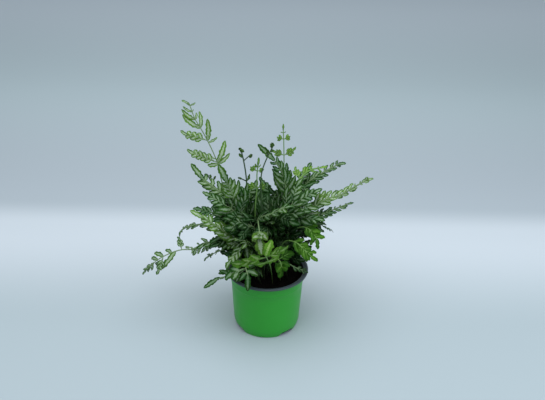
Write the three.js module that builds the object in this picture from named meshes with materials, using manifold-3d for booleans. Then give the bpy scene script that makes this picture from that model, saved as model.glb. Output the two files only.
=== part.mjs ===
// A silver-striped fern growing in a two-colour nursery pot.
// Millimetres, +Z up, origin at the centre of the pot's underside, front towards -Y.
import * as THREE from "three";
import { mergeVertices } from "three/addons/utils/BufferGeometryUtils.js";
import Module from "manifold-3d";

const wasm = await Module();
wasm.setup();

// The pot: a thin tapered cup with a rolled rim, a stacking ledge and a chamfered foot
const POT_HEIGHT = 94;
const RIM_RADIUS = 60;
const RIM_INNER_RADIUS = 56.3;
const RIM_DEPTH = 2.6;
const NECK_RADIUS = 54.3;
const LEDGE_HEIGHT = 76;
const LEDGE_STEP = 0.7;
const SHOULDER_RADIUS = 53;
const CHAMFER_HEIGHT = 9;
const CHAMFER_RADIUS = 48.8;
const FOOT_RADIUS = 46;
const WALL = 1.2;
const POT_SIDES = 36;

// Drainage cuts through the pot's foot: four wide ones, and a slot in each foot between them
const CUT_TURNS = [32, 130, 212, 310];
const CUT_WIDE = 27;
const CUT_NARROW = 17;
const CUT_HEIGHT = 6.5;
const CUT_DEPTH = 42;
const SLOT_TURNS = [82, 172, 262, 352];
const SLOT_WIDTH = 3;
const SLOT_HEIGHT = 1.8;

// The soil
const SOIL_LEVEL = 79;
const SOIL_MOUND = 5;
const SOIL_LUMP = 0.7;
const SOIL_RINGS = 4;
const SOIL_SIDES = 24;
const SEAT_GAP = 0.3;

// Stalks and leaflets
const ROOT_DEPTH = 7;
const STALK_HALF = 0.8;
const STALK_TOP = 0.5;
const BLADE_HALF = 0.33;
const RIB_HALF = 0.8;
const PAIR_GAP = 1.6;
const BROAD_LOBE = 12;
const LOBE_GAP = 2.6;
const LOBE_SLIT = 0.9;
const STALK_STEP = 26;

// Room kept round blades and stalks, measured between points laid on them. Within a frond it is less by ease,
// and it isn't kept near the base of the blade that grows.
const POINT_SPACING = 0.7;
const ROUND_BLADE = { room: 1.85, ease: 0.25, base: 2.6 };
const ROUND_STALK = { room: 2.5, ease: 0.25, base: 4.8 };
const STALKS_APART = 3.1;

const COLOURS = {
  pot: { color: 0x2f9a3a, roughness: 0.45, metalness: 0 },
  soil: { color: 0x14100d, roughness: 1, metalness: 0 },
  leaf: { color: 0x2f6a26, roughness: 0.5, metalness: 0 },
  young: { color: 0x74a63a, roughness: 0.5, metalness: 0 },
  crozier: { color: 0x56703a, roughness: 0.6, metalness: 0 },
};

// A blade is a rib with pairs of lobes and a lobe at its end.
// stem: bare length of its rib; pitch: a pair's room along it; long, wide: a lobe's length and width; end and
// endWide: those of the lobe at its end; pairs: pairs of lobes; taper: how much shorter these get along it;
// splay: between lobe and rib; angle: between rib and stalk; lift: how far it rises out of the frond's
// plane; sag: how far it bows down; curl: the radius of a coil instead of lobes. Angles in degrees.
const PLAIN = {
  stem: 0, pitch: 0, long: 0, wide: 0, end: 0, endWide: 0, pairs: 0, taper: 0.3, splay: 50, lift: 0, sag: 0,
  curl: 0,
};
const SIZES = ["stem", "pitch", "long", "wide", "end", "endWide"];

// The blades of the fronds that are grown by rule: the share of the stalk that is bare, the pairs of lobes on
// each successive pair of blades, and the larger blade at the frond's end
const BARE_SHARE = 0.48;
const LOBED = [1, 1, 0];
const BLADE = { stem: 4, pitch: 7, long: 9.5, wide: 4.8, end: 13, endWide: 4.8 };
const BLADE_ANGLE = 60;
const BLADE_LIFT = 8;
const BLADE_SAG = 0.35;
const CROWN = { pairs: 3, long: 11 };

// The fronds that are told apart, each along chosen points.
// root: its place in the soil; path: points that its stalk passes, from the root up; tip: the tip of the
// leaflet at its end, and wide: that leaflet's width; coil: the radius of a coiled end instead; girth: the
// stalk's thickness against the others; face: the share by which the blades' upper side turns to the front;
// pinnae: each with its place on the path (1 at the path's first point), the angle from the stalk (left
// of it is positive), its length, a leaflet's width, and its pairs of lobes or "coil"; combs: even rows
// of single leaflets between two places, where left and right give the angle and the first and last length.
const DRAWN = {
  tall_left: {
    look: "leaf", face: 0.95, root: [-16, 8], tip: [-124, 62, 327], wide: 3,
    path: [
      [-56, 14, 188], [-67, 28, 219], [-74, 38, 244], [-88, 48, 273], [-98, 53, 290], [-105, 56, 301],
      [-113, 61, 322],
    ],
    pinnae: [
      [2.9, 92, 14, 8], [2.9, -80, 22, 6], [3, 49, 47, 6.5, 4], [3, -50, 32, 10], [3.15, 36, 14, 5],
      [3.9, -103, 14, 3], [4, 44, 40, 6, 3], [4, -14, 30, 9], [5, 27, 30, 7.5], [5, -30, 22, 7],
      [6, 30, 23, 6], [6, -28, 9, 4], [6.5, 58, 14, 4], [6.5, -34, 7, 3], [6.9, 50, 7, 3], [6.9, -98, 8, 3],
    ],
  },
  upper_left: {
    look: "leaf", face: 0.7, root: [-22, 6], tip: [-111, 32, 243], wide: 7,
    path: [[-40, 8, 185], [-58, 16, 202], [-81, 24, 213], [-93, 28, 221]],
    combs: [{ from: 2, to: 3.85, pairs: 4, left: [43, 20, 14], right: [62, 17, 9], wide: [6.5, 5] }],
  },
  middle_left: {
    look: "leaf", face: 0.85, root: [-10, -2], tip: [-67, -9, 261], wide: 8.5,
    path: [[-42, -2, 186], [-49, -3, 210], [-54, -4, 225], [-57, -5, 234]],
    combs: [{ from: 2, to: 3.7, pairs: 3, left: [55, 16, 8], right: [58, 22, 9], wide: [6.5, 5] }],
  },
  rear_centre: {
    look: "leaf", face: 0.95, root: [20, 0], tip: [-15, 26, 278], wide: 6.5,
    path: [[25, 21, 186], [24, 23, 207], [23, 24, 221], [14, 26, 244], [7, 26, 254]],
    combs: [{ from: 2, to: 4.5, pairs: 5, left: [50, 26, 9], right: [28, 28, 9], wide: [7, 4] }],
  },
  far_right: {
    look: "leaf", face: 0.6, root: [17, 2], tip: [147, 20, 232], wide: 3,
    path: [[40, 5, 168], [62, 8, 189], [78, 11, 200], [105, 17, 208], [121, 18, 219], [138, 20, 229]],
    combs: [{ from: 1.6, to: 5.9, pairs: 12, left: [36, 22, 6], right: [33, 18, 6], wide: [5.5, 3] }],
  },
  rear_right: {
    look: "leaf", face: 0.5, root: [17, 14], tip: [115, 91, 224], wide: 4.5,
    path: [[32, 46, 168], [44, 64, 186], [63, 76, 201], [80, 82, 210], [103, 89, 221]],
    combs: [{ from: 2, to: 4.9, pairs: 8, left: [34, 20, 8], right: [35, 22, 10], wide: [6, 3.5] }],
  },
  low_right: {
    look: "leaf", face: 0.45, root: [25, 4], tip: [122, 19, 194], wide: 3,
    path: [[50, 4, 157], [61, 5, 170], [85, 10, 182], [112, 16, 192]],
    combs: [{ from: 1.8, to: 3.9, pairs: 8, left: [36, 16, 6], right: [40, 15, 7], wide: [5, 3] }],
  },
  striped_left: {
    look: "leaf", face: 0.6, root: [-13, -18], tip: [-105, -33, 203], wide: 5.5,
    path: [
      [-20, -17, 113], [-29, -17, 129], [-45, -20, 150], [-64, -25, 169], [-81, -29, 185], [-90, -30, 192],
    ],
    combs: [{ from: 2.4, to: 5.8, pairs: 7, left: [45, 20, 9], right: [30, 24, 10], wide: [7.5, 4.5] }],
  },
  trailing_left: {
    look: "leaf", face: 0.55, root: [-28, -5], tip: [-178, -32, 97], wide: 3.5,
    path: [
      [-41, -7, 123], [-52, -9, 135], [-75, -14, 142], [-88, -17, 143], [-106, -20, 134], [-121, -25, 136],
      [-139, -27, 130], [-155, -29, 121], [-172, -31, 105],
    ],
    combs: [
      { from: 2, to: 5, pairs: 6, left: [45, 12, 12], right: [48, 12, 12], wide: [5, 5] },
      { from: 8.4, to: 8.9, pairs: 2, left: [33, 10, 7], right: [38, 9, 6], wide: [4, 3] },
    ],
    pinnae: [
      [5.3, -58, 19, 5.5, 2], [6, -85, 20, 4, 2], [6.5, 41, 32, 7.5], [6.8, -62, 10, 6],
      [7.5, 50, 26, 5, 2], [7.5, -35, 15, 7], [8, 42, 14, 4, 1], [8, -42, 12, 6],
    ],
  },
  bowed_left: {
    look: "leaf", face: 0.45, root: [-28, 8], tip: [-135, 40, 117], wide: 3.5,
    path: [
      [-62, 20, 130], [-76, 24, 139], [-99, 31, 146], [-112, 35, 141], [-122, 37, 137], [-131, 39, 129],
    ],
    combs: [{ from: 1.8, to: 5.8, pairs: 6, left: [43, 13, 7], right: [40, 13, 6], wide: [5, 3.5] }],
  },
  twig_left: {
    look: "leaf", face: 0.4, root: [-25, 4], tip: [-97, 15, 94], wide: 2.5,
    path: [[-43, 4, 114], [-56, 7, 118], [-76, 12, 110], [-86, 13, 103]],
    combs: [{ from: 2, to: 3.8, pairs: 4, left: [34, 10, 6], right: [33, 9, 6], wide: [4, 2.5] }],
  },
  rim_left: {
    look: "leaf", face: 0.55, root: [-24, -12], tip: [-90, -50, 89], wide: 6,
    path: [[-30, -33, 111], [-40, -39, 106], [-60, -45, 105], [-67, -46, 104]],
    pinnae: [
      [2, 50, 12, 6], [2, -28, 29, 8.5], [2.5, 38, 13, 5.5], [2.6, -38, 17, 6], [3, 36, 10, 4],
      [3.6, 34, 7, 3.5],
    ],
  },
  rim_front: {
    look: "leaf", face: 0.1, root: [-9, -25], tip: [-25, -78, 104], wide: 7.5,
    path: [[-28, -50, 134], [-29, -58, 129], [-26, -67, 124]],
    pinnae: [
      [1.8, 122, 14, 8], [1.5, -125, 22, 7.5], [2.5, 64, 16, 8], [2.05, -80, 32, 9, 1], [2.7, -52, 15, 6.5],
    ],
  },
  front_bright: {
    look: "young", face: 0.85, root: [8, -26], tip: [5, -67, 180], wide: 8,
    path: [[5, -48, 124], [3, -65, 142], [-2, -75, 160]],
    pinnae: [
      [2.3, 102, 19, 8], [2.8, 66, 49, 9.5, 2], [2.3, -128, 18, 8], [2.8, -106, 33, 9, 2],
    ],
  },
  front_silver: {
    look: "leaf", face: 0, root: [-4, -12], tip: [-8, -69, 157], wide: 11,
    path: [[-13, -32, 184], [-11, -47, 177], [-11, -52, 174]],
    combs: [{ from: 1.9, to: 2.75, pairs: 2, left: [50, 15, 12], right: [50, 15, 12], wide: [7.5, 7] }],
  },
  front_right: {
    look: "leaf", face: 0.4, root: [-7, -11], tip: [34, -38, 218], wide: 5,
    path: [[-21, -12, 163], [-14, -16, 180], [5, -26, 197], [23, -34, 211]],
    combs: [{ from: 1.9, to: 3.85, pairs: 5, left: [39, 17, 9], right: [57, 15, 9], wide: [6, 4.5] }],
  },
  hanging_right: {
    look: "young", face: 0.7, root: [23, -9], tip: [71, -34, 146], wide: 6.5,
    path: [[42, -12, 168], [52, -17, 172], [61, -22, 168], [68, -28, 160]],
    combs: [{ from: 2.2, to: 3.8, pairs: 3, left: [52, 15, 13], right: [50, 13, 14], wide: [7, 6.5] }],
  },
  hanging_near: {
    look: "young", face: 0.6, root: [18, -14], tip: [70, -52, 138], wide: 6,
    path: [[31, -26, 155], [40, -33, 156], [49, -40, 151], [58, -47, 145]],
    combs: [{ from: 1.8, to: 3.8, pairs: 4, left: [49, 12, 11], right: [55, 15, 12], wide: [6.5, 6] }],
  },
  low_front_right: {
    look: "young", face: 0.2, root: [19, -18], tip: [18, -49, 107], wide: 6.5,
    path: [[14, -34, 131], [19, -39, 126], [20, -43, 120]],
    combs: [{ from: 2, to: 2.75, pairs: 2, left: [55, 12, 12], right: [53, 11, 12], wide: [6.5, 6.5] }],
    pinnae: [[1.3, 82, 24, 7, 2]],
  },
  rim_right: {
    look: "leaf", face: 0.4, root: [26, -7], tip: [60, -18, 98], wide: 3,
    path: [[31, -24, 115], [38, -23, 110], [52, -20, 102]],
    combs: [{ from: 1.9, to: 2.85, pairs: 3, left: [38, 9, 6], right: [38, 9, 7], wide: [4, 3] }],
  },
  crozier_high: {
    look: "crozier", face: 0.6, root: [-10, 6], coil: 3.2, girth: 1.35,
    path: [[-31, 6, 202], [-31, 8, 230], [-35, 9, 260], [-38, 9, 274]],
    pinnae: [[2, 52, 12, 4, "coil"], [2, -48, 10, 3.5], [3, -58, 11, 4.5, "coil"], [3.4, 40, 7, 3.5]],
  },
  crozier_left: {
    look: "crozier", face: 0.6, root: [-14, -2], coil: 2.5, girth: 1.2,
    path: [[-52, 18, 192], [-77, 32, 207], [-87, 38, 221]],
    pinnae: [[2.4, -50, 8, 4, "coil"], [2.4, 60, 8, 3.5], [2.8, -55, 6, 3]],
  },
  crozier_right: {
    look: "crozier", face: 0.6, root: [-9, -3], coil: 2.7, girth: 1.2,
    path: [[-10, -2, 207], [-9, -4, 252], [-4, -5, 268], [4, -5, 286]],
    pinnae: [[3.3, 28, 6, 3, "coil"], [3.7, -40, 5, 3]],
  },
  young_centre: {
    look: "young", face: 0.9, root: [-13, -4], tip: [-14, 2, 268], wide: 4, girth: 1.15,
    path: [[-18, 0, 196], [-16, 1, 223], [-16, 2, 248], [-15, 2, 256]],
    pinnae: [
      [2, 58, 13, 5, 1], [2, -62, 12, 5, 1], [3, 62, 11, 4, 1], [3, -50, 12, 4, 1], [3.7, 42, 9, 4],
      [3.7, -42, 11, 4],
    ],
  },
  young_high: {
    look: "young", face: 0.95, root: [15, 19], tip: [19, 60, 295], wide: 3.5,
    path: [[23, 40, 184], [22, 54, 218], [21, 58, 248], [20, 60, 272], [19, 60, 286]],
    pinnae: [
      [3, 68, 18, 5, 2], [3, -58, 21, 5, 2], [4, 58, 10, 4, 1], [4, -58, 10, 4, 1], [4.7, 60, 7, 3],
      [4.7, -60, 7, 3],
    ],
  },
  young_right: {
    look: "young", face: 0.6, root: [11, 13], tip: [86, 68, 227], wide: 4,
    path: [[22, 28, 182], [34, 40, 203], [44, 48, 216], [62, 60, 225], [73, 64, 226]],
    combs: [{ from: 3.4, to: 4.8, pairs: 3, left: [48, 11, 8], right: [36, 11, 7], wide: [5, 3.5] }],
    pinnae: [[2, 60, 13, 5], [2, -50, 12, 5], [3, 62, 20, 5, 2], [3, -36, 13, 5]],
  },
};

// The fronds between and behind them, grown by rule: turn, the direction of the tip seen from above (0
// along +X, 90 to the back); reach, the tip's distance from the pot's axis; height, the tip above the table;
// lean, the stalk's lean at the root; dip, how far below level the tip points; root, the stalk's distance
// from the axis in the soil; face, as above; size, that of its leaflets. Angles in degrees.
const GROWN = {
  left_high: { turn: 181, reach: 92, height: 216, lean: 18, dip: -30, root: 16, face: 0.5, size: 1.1 },
  left_low: { turn: 175, reach: 108, height: 184, lean: 26, dip: -10, root: 21, face: 0.5, size: 1.1 },
  left_inner: { turn: 200, reach: 66, height: 186, lean: 20, dip: -20, root: 15, face: 0.5 },
  left_skirt: { turn: 184, reach: 96, height: 120, lean: 30, dip: 42, root: 24, face: 0.3 },
  front_left: { turn: 226, reach: 82, height: 128, lean: 30, dip: 36, root: 24, size: 1.1 },
  front_left_up: { turn: 236, reach: 50, height: 184, lean: 14, dip: -16, root: 17, face: 0.3, size: 1.1 },
  right_high: { turn: 10, reach: 77, height: 217, lean: 14, dip: -26, root: 11, face: 0.5, size: 1.1 },
  right_inner: { turn: 345, reach: 62, height: 196, lean: 14, dip: -16, root: 17, face: 0.5, size: 1.1 },
  right_low: { turn: 350, reach: 82, height: 168, lean: 24, dip: 16, root: 24, face: 0.4, size: 1.1 },
  centre_up: { turn: 75, reach: 26, height: 204, lean: 4, dip: -60, root: 12, face: 0.8, size: 1.1 },
  centre_low: { turn: 280, reach: 38, height: 176, lean: 10, dip: -10, root: 7, size: 1.1 },
  back_right: { turn: 56, reach: 118, height: 182, lean: 24, dip: 22, root: 24, size: 1.1 },
  back_middle: { turn: 86, reach: 124, height: 150, lean: 28, dip: 32, root: 25, size: 1.1 },
  back_left: { turn: 118, reach: 118, height: 162, lean: 26, dip: 28, root: 24, size: 1.1 },
  back_side: { turn: 141, reach: 112, height: 176, lean: 26, dip: 8, root: 25, size: 1.1 },
  back_skirt: { turn: 102, reach: 92, height: 104, lean: 34, dip: 50, root: 29 },
  back_corner: { turn: 24, reach: 108, height: 130, lean: 30, dip: 36, root: 28 },
  back_inner: { turn: 100, reach: 72, height: 172, lean: 16, dip: 0, root: 16, size: 1.1 },
};

const vec = (x, y, z) => new THREE.Vector3(x, y, z);
const mix = (...terms) => {
  const sum = vec(0, 0, 0);
  for (const [point, weight] of terms) sum.addScaledVector(point, weight);
  return sum;
};
const cross = (a, b) => new THREE.Vector3().crossVectors(a, b);
const unit = (v) => v.clone().normalize();
const radians = THREE.MathUtils.degToRad;
const UP = vec(0, 0, 1);
const FRONT = unit(vec(0, -1, 0.35));

// Fixed draw between -1 and 1 for one item of a numbered piece
function draw(piece, item) {
  const wave = Math.sin(piece * 127.1 + item * 311.7 + 74.7) * 43758.5453;
  return (wave - Math.floor(wave)) * 2 - 1;
}

// A thin curved sheet of triangles, seen anticlockwise from its upper side, thickened into a closed solid
class Sheet {
  constructor() {
    this.points = [];
    this.halves = [];
    this.faces = [];
  }

  add(point, half) {
    this.points.push(point);
    this.halves.push(half);
    return this.points.length - 1;
  }

  fan(first, ...rest) {
    for (let i = 0; i + 1 < rest.length; i += 1) this.faces.push([first, rest[i], rest[i + 1]]);
  }

  // Joins another sheet on, whose first points lie on the listed points of this one
  graft(other, shared) {
    const index = other.points.map((point, i) => shared[i] ?? this.add(point, other.halves[i]));
    for (const face of other.faces) this.faces.push(face.map((corner) => index[corner]));
  }

  geometry() {
    const normals = this.points.map(() => vec(0, 0, 0));
    const edges = new Set();
    for (const [a, b, c] of this.faces) {
      const ab = this.points[b].clone().sub(this.points[a]);
      const normal = cross(ab, this.points[c].clone().sub(this.points[a]));
      for (const corner of [a, b, c]) normals[corner].add(normal);
      for (const [from, to] of [[a, b], [b, c], [c, a]]) edges.add(`${from} ${to}`);
    }
    const count = this.points.length;
    const positions = [];
    for (const side of [1, -1]) {
      this.points.forEach((point, i) => {
        positions.push(...mix([point, 1], [normals[i].normalize(), side * this.halves[i]]).toArray());
      });
    }
    const index = [];
    for (const [a, b, c] of this.faces) index.push(a, b, c, a + count, c + count, b + count);
    for (const edge of edges) {
      const [a, b] = edge.split(" ").map(Number);
      if (!edges.has(`${b} ${a}`)) index.push(b, a, a + count, b, a + count, b + count);
    }
    const geometry = new THREE.BufferGeometry();
    geometry.setAttribute("position", new THREE.Float32BufferAttribute(positions, 3));
    geometry.setIndex(index);
    return geometry;
  }
}

// Height of the soil's surface at a place
function soilHeight(x, y) {
  const share = Math.hypot(x, y) / NECK_RADIUS;
  const lumps = Math.sin(x * 0.31 + 1.3) * Math.cos(y * 0.27 + 0.4) + Math.sin(x * 0.11 - y * 0.17);
  return SOIL_LEVEL + SOIL_MOUND * (1 - share * share) + SOIL_LUMP * lumps * (1 - share ** 6);
}

// A stalk's centre line with the distance along it, from Hermite pieces between knots and their directions
function smoothCurve(knots, directions, tip) {
  const points = [knots[0]];
  const along = [0];
  const reached = [0];
  for (let i = 0; i + 1 < knots.length; i += 1) {
    const chord = knots[i].distanceTo(knots[i + 1]);
    const steps = Math.max(4, Math.round(chord / 2));
    for (let step = 1; step <= steps; step += 1) {
      const t = step / steps;
      const s = 1 - t;
      points.push(mix(
        [knots[i], s * s * (1 + 2 * t)], [directions[i], chord * t * s * s],
        [knots[i + 1], t * t * (1 + 2 * s)], [directions[i + 1], -chord * t * t * s],
      ));
      const last = points.length - 1;
      along.push(along[last - 1] + points[last].distanceTo(points[last - 1]));
    }
    reached.push(along[along.length - 1]);
  }
  const out = unit(vec(tip.x - knots[0].x, tip.y - knots[0].y, 0));
  return { points, along, reached, length: along[along.length - 1], side: cross(UP, out) };
}

// The place where a stalk leaves the soil, moved by a shift
function rootOf(turn, radius, shift) {
  const [angle, reach] = [turn + radians(shift.turn), radius + shift.out];
  const base = vec(Math.cos(angle) * reach, Math.sin(angle) * reach, 0);
  base.z = soilHeight(base.x, base.y);
  return base;
}

// The curve of a frond that is drawn along chosen points
function drawnCurve(frond, shift) {
  const base = rootOf(Math.atan2(frond.root[1], frond.root[0]), Math.hypot(...frond.root), shift);
  const inner = frond.path.map(([x, y, z], i) => vec(x, y + (i < frond.path.length - 2 ? shift.back : 0), z));
  const rise = unit(mix([unit(inner[0].clone().sub(base)), 1], [UP, 0.5]));
  const knots = [mix([base, 1], [rise, -ROOT_DEPTH]), base, ...inner];
  const directions = knots.map((knot, i) => {
    if (i < 2) return rise;
    const before = knots[i].clone().sub(knots[i - 1]);
    if (i === knots.length - 1) return unit(before);
    const after = knots[i + 1].clone().sub(knots[i]);
    return unit(mix([unit(before), after.length()], [unit(after), before.length()]));
  });
  const tip = frond.tip ? vec(...frond.tip) : inner[inner.length - 1];
  return smoothCurve(knots, directions, tip);
}

// The curve of a frond that is grown by rule
function grownCurve(frond, shift) {
  const crownLength = (BLADE.stem + CROWN.pairs * BLADE.pitch + BLADE.end) * frond.size;
  const turn = radians(frond.turn);
  const tip = vec(Math.cos(turn) * frond.reach, Math.sin(turn) * frond.reach, frond.height);
  const base = rootOf(turn, frond.root, shift);
  const out = unit(vec(tip.x - base.x, tip.y - base.y, 0));
  const lean = radians(frond.lean);
  const dip = radians(frond.dip);
  const rise = mix([UP, Math.cos(lean)], [out, Math.sin(lean)]);
  const aim = mix([out, Math.cos(dip)], [UP, -Math.sin(dip)]);
  const start = mix([base, 1], [rise, -ROOT_DEPTH]);
  return smoothCurve([start, mix([tip, 1], [aim, -crownLength])], [mix([rise, 1.35]), mix([aim, 0.9])], tip);
}

// Place and directions at a distance along a stalk: forward, left and up out of the blade
function stalkPlace(curve, distance, face) {
  let i = 1;
  while (i < curve.points.length - 1 && curve.along[i] < distance) i += 1;
  const [a, b] = [curve.points[i - 1], curve.points[i]];
  const share = (distance - curve.along[i - 1]) / (curve.along[i] - curve.along[i - 1]);
  return facing(mix([a, 1 - share], [b, share]), unit(b.clone().sub(a)), curve.side, face);
}

function facing(point, forward, side, face) {
  const wanted = mix([cross(forward, side), 1 - face], [FRONT, face]);
  const up = unit(mix([wanted, 1], [forward, -wanted.dot(forward)]));
  return { point, forward, up, left: cross(up, forward) };
}

// A rib with pairs of lobes and a lobe or a coil at its end, growing from two points of a stalk
function growBlade(base, forward, up, plan) {
  const sheet = new Sheet();
  sheet.add(base[0], STALK_TOP);
  sheet.add(base[1], STALK_TOP);
  const origin = mix([base[0], 0.5], [base[1], 0.5]);
  const length = plan.stem + plan.pairs * plan.pitch + plan.end;
  const down = UP.clone().multiplyScalar(-plan.sag / length);
  const place = (s) => {
    const ahead = unit(mix([forward, 1], [down, s]));
    const top = unit(mix([up, 1], [ahead, -up.dot(ahead)]));
    const point = mix([origin, 1], [forward, s], [down, (s * s) / 2]);
    return { point, ahead, top, left: cross(top, ahead) };
  };
  let back = [0, 1];
  const step = (at, half, thick) => {
    const next = [1, -1].map((side) => sheet.add(mix([at.point, 1], [at.left, side * half]), thick));
    sheet.fan(back[1], next[1], next[0], back[0]);
    back = next;
    return next;
  };
  if (plan.curl) {
    const at = place(plan.stem);
    step(at, STALK_HALF * 0.8, STALK_HALF * 0.8);
    coil(at, plan.curl, step);
    return sheet;
  }
  if (plan.stem) step(place(plan.stem), RIB_HALF, STALK_TOP);
  const gap = plan.pitch - plan.wide > LOBE_GAP ? plan.pitch - plan.wide : 0;
  for (let j = 0; j < plan.pairs; j += 1) {
    const narrow = RIB_HALF * (1 - (0.3 * (j + 1)) / plan.pairs);
    const start = plan.stem + j * plan.pitch;
    if (gap) step(place(start + gap), narrow, 0.4);
    const [l0, r0] = back;
    const at = place(start + (plan.pitch + gap) * 0.5);
    const [l1, r1] = step(place(start + plan.pitch), narrow, 0.4);
    const long = plan.long * (1 - (plan.taper * j) / plan.pairs);
    addLobe(sheet, l0, l1, at, 1, long, plan);
    addLobe(sheet, r1, r0, at, -1, long, plan);
  }
  const [l, r] = back;
  const at = place(length);
  const mid = place(length - plan.end * 0.55);
  const tip = sheet.add(at.point, BLADE_HALF);
  const half = plan.endWide * 0.5;
  const shoulders = [-1, 1].map((side) => {
    return sheet.add(mix([mid.point, 1], [mid.left, side * half]), BLADE_HALF);
  });
  sheet.fan(l, r, shoulders[0], shoulders[1]);
  sheet.fan(shoulders[1], shoulders[0], tip);
  return sheet;
}

// One lobe beside a rib, from a base edge that runs anticlockwise round it
function addLobe(sheet, a, b, at, side, long, plan) {
  const angle = radians(plan.splay);
  const out = mix([at.ahead, Math.cos(angle)], [at.left, side * Math.sin(angle)]);
  const fore = mix([at.ahead, Math.sin(angle)], [at.left, -side * Math.cos(angle)]);
  const root = mix([sheet.points[a], 0.5], [sheet.points[b], 0.5]);
  const half = Math.min(plan.wide, plan.pitch * Math.sin(angle) - LOBE_SLIT) * 0.5;
  const tip = sheet.add(mix([root, 1], [out, long], [at.top, -long * 0.12]), BLADE_HALF);
  const rear = sheet.add(mix([root, 1], [out, long * 0.5], [fore, -half]), BLADE_HALF);
  const [near, far] = side > 0 ? [a, b] : [b, a];
  if (long < BROAD_LOBE) {
    if (side > 0) sheet.fan(near, far, tip, rear);
    else sheet.fan(near, rear, tip, far);
    return;
  }
  const front = sheet.add(mix([root, 1], [out, long * 0.55], [fore, half]), BLADE_HALF);
  if (side > 0) {
    sheet.fan(near, far, front, rear);
    sheet.fan(rear, front, tip);
  } else {
    sheet.fan(near, rear, front, far);
    sheet.fan(rear, tip, front);
  }
}

// A coiled end: the rib winds up and over, closer at each step
function coil(at, radius, step) {
  const steps = 7;
  const turnBy = radians(46);
  let { point } = at;
  for (let i = 0; i < steps; i += 1) {
    const middle = turnBy * (i + 0.5);
    const reach = 2 * radius * (1 - 0.075 * i) * Math.sin(turnBy / 2);
    point = mix([point, 1], [at.ahead, reach * Math.cos(middle)], [at.top, reach * Math.sin(middle)]);
    const half = STALK_HALF * (0.8 - 0.02 * i);
    step({ point, left: at.left }, half, half);
  }
}

// Points laid over a sheet's faces, no further apart than the spacing
function cover(sheet) {
  const found = [];
  for (const [a, b, c] of sheet.faces) {
    const corners = [a, b, c].map((i) => sheet.points[i]);
    const longest = Math.max(...corners.map((p, i) => p.distanceTo(corners[(i + 1) % 3])));
    const parts = Math.ceil(longest / POINT_SPACING);
    for (let i = 0; i <= parts; i += 1) {
      for (let j = 0; i + j <= parts; j += 1) {
        const weights = [i / parts, j / parts, (parts - i - j) / parts];
        found.push(mix(...corners.map((corner, k) => [corner, weights[k]])));
      }
    }
  }
  return found;
}

// The places already taken, in boxes as wide as the most room that is kept
const taken = new Map();
const boxOf = (value) => Math.floor(value / ROUND_STALK.room);

function occupy(points, owner, kept) {
  for (const point of points) {
    const key = `${boxOf(point.x)} ${boxOf(point.y)} ${boxOf(point.z)}`;
    if (!taken.has(key)) taken.set(key, []);
    taken.get(key).push({ point, owner, kept });
  }
}

// Everything taken in the boxes round a point
function around(point, reach) {
  const found = [];
  for (let i = -reach; i <= reach; i += 1) {
    for (let j = -reach; j <= reach; j += 1) {
      for (let k = -reach; k <= reach; k += 1) {
        found.push(...(taken.get(`${boxOf(point.x) + i} ${boxOf(point.y) + j} ${boxOf(point.z) + k}`) ?? []));
      }
    }
  }
  return found;
}

// True where a point is clear of the pot, the soil, the table and every other blade
function isFree(point, owner, origin) {
  const radius = Math.hypot(point.x, point.y);
  if (point.z < 2) return false;
  if (radius < RIM_INNER_RADIUS - 5 && point.z < soilHeight(point.x, point.y) + 2) return false;
  if (radius >= RIM_INNER_RADIUS - 5 && radius < RIM_RADIUS + 2 && point.z < POT_HEIGHT + 2) return false;
  const fromBase = point.distanceTo(origin);
  return around(point, 1).every(({ point: other, owner: theirs, kept }) => {
    const own = theirs === owner;
    return (own && fromBase < kept.base) || other.distanceTo(point) >= kept.room - (own ? kept.ease : 0);
  });
}

// Ways to bend a blade clear of its neighbours, the least bend first
const BENDS = [];
for (const size of [1, 0.75, 0.5]) {
  for (const lift of [0, 14, -14, 28, -28, 42, -42, 56]) {
    for (const sweep of [0, 12, -12, 24]) BENDS.push({ lift, sweep, size });
  }
}
BENDS.sort((a, b) => cost(a) - cost(b));

function cost(bend) {
  return Math.abs(bend.lift) + Math.abs(bend.sweep) + (1 - bend.size) * 140;
}

// The blade that a bend makes, on one side of its stalk or at its end
function bentBlade(base, at, side, plan, bend) {
  const angle = radians(side === 0 ? bend.sweep : plan.angle + bend.sweep);
  const across = side === 0 ? 1 : side;
  const lift = radians(plan.lift + bend.lift);
  const flat = mix([at.forward, Math.cos(angle)], [at.left, across * Math.sin(angle)]);
  const forward = mix([flat, Math.cos(lift)], [at.up, Math.sin(lift)]);
  const up = mix([at.up, Math.cos(lift)], [flat, -Math.sin(lift)]);
  const scaled = { ...plan };
  for (const key of SIZES) scaled[key] = plan[key] * bend.size;
  return growBlade(base, forward, up, scaled);
}

// The blades of a frond that is grown by rule: one at its end, then pairs from the lowest up
function grownBlades(frond, curve, owner) {
  const first = curve.length * BARE_SHARE;
  const last = curve.length - BLADE.pitch * frond.size;
  const scaled = { ...PLAIN };
  for (const key of SIZES) scaled[key] = BLADE[key] * frond.size;
  const crown = { ...scaled, pairs: CROWN.pairs, long: CROWN.long * frond.size, taper: 0.4 };
  const blades = [{ distance: curve.length, side: 0, plan: crown }];
  LOBED.forEach((pairs, j) => {
    const distance = first + ((last - first) * j) / (LOBED.length - 0.35);
    for (const side of [1, -1]) {
      const seed = owner * 40 + blades.length;
      const plan = { ...scaled, pairs, sag: BLADE_SAG };
      plan.lift = BLADE_LIFT + 7 * draw(seed, 1);
      plan.angle = BLADE_ANGLE + 6 * draw(seed, 2);
      plan.end *= (pairs > 0 ? 0.85 : 1) * (1 + 0.12 * draw(seed, 3));
      blades.push({ distance, side, plan });
    }
  });
  return blades;
}

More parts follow.
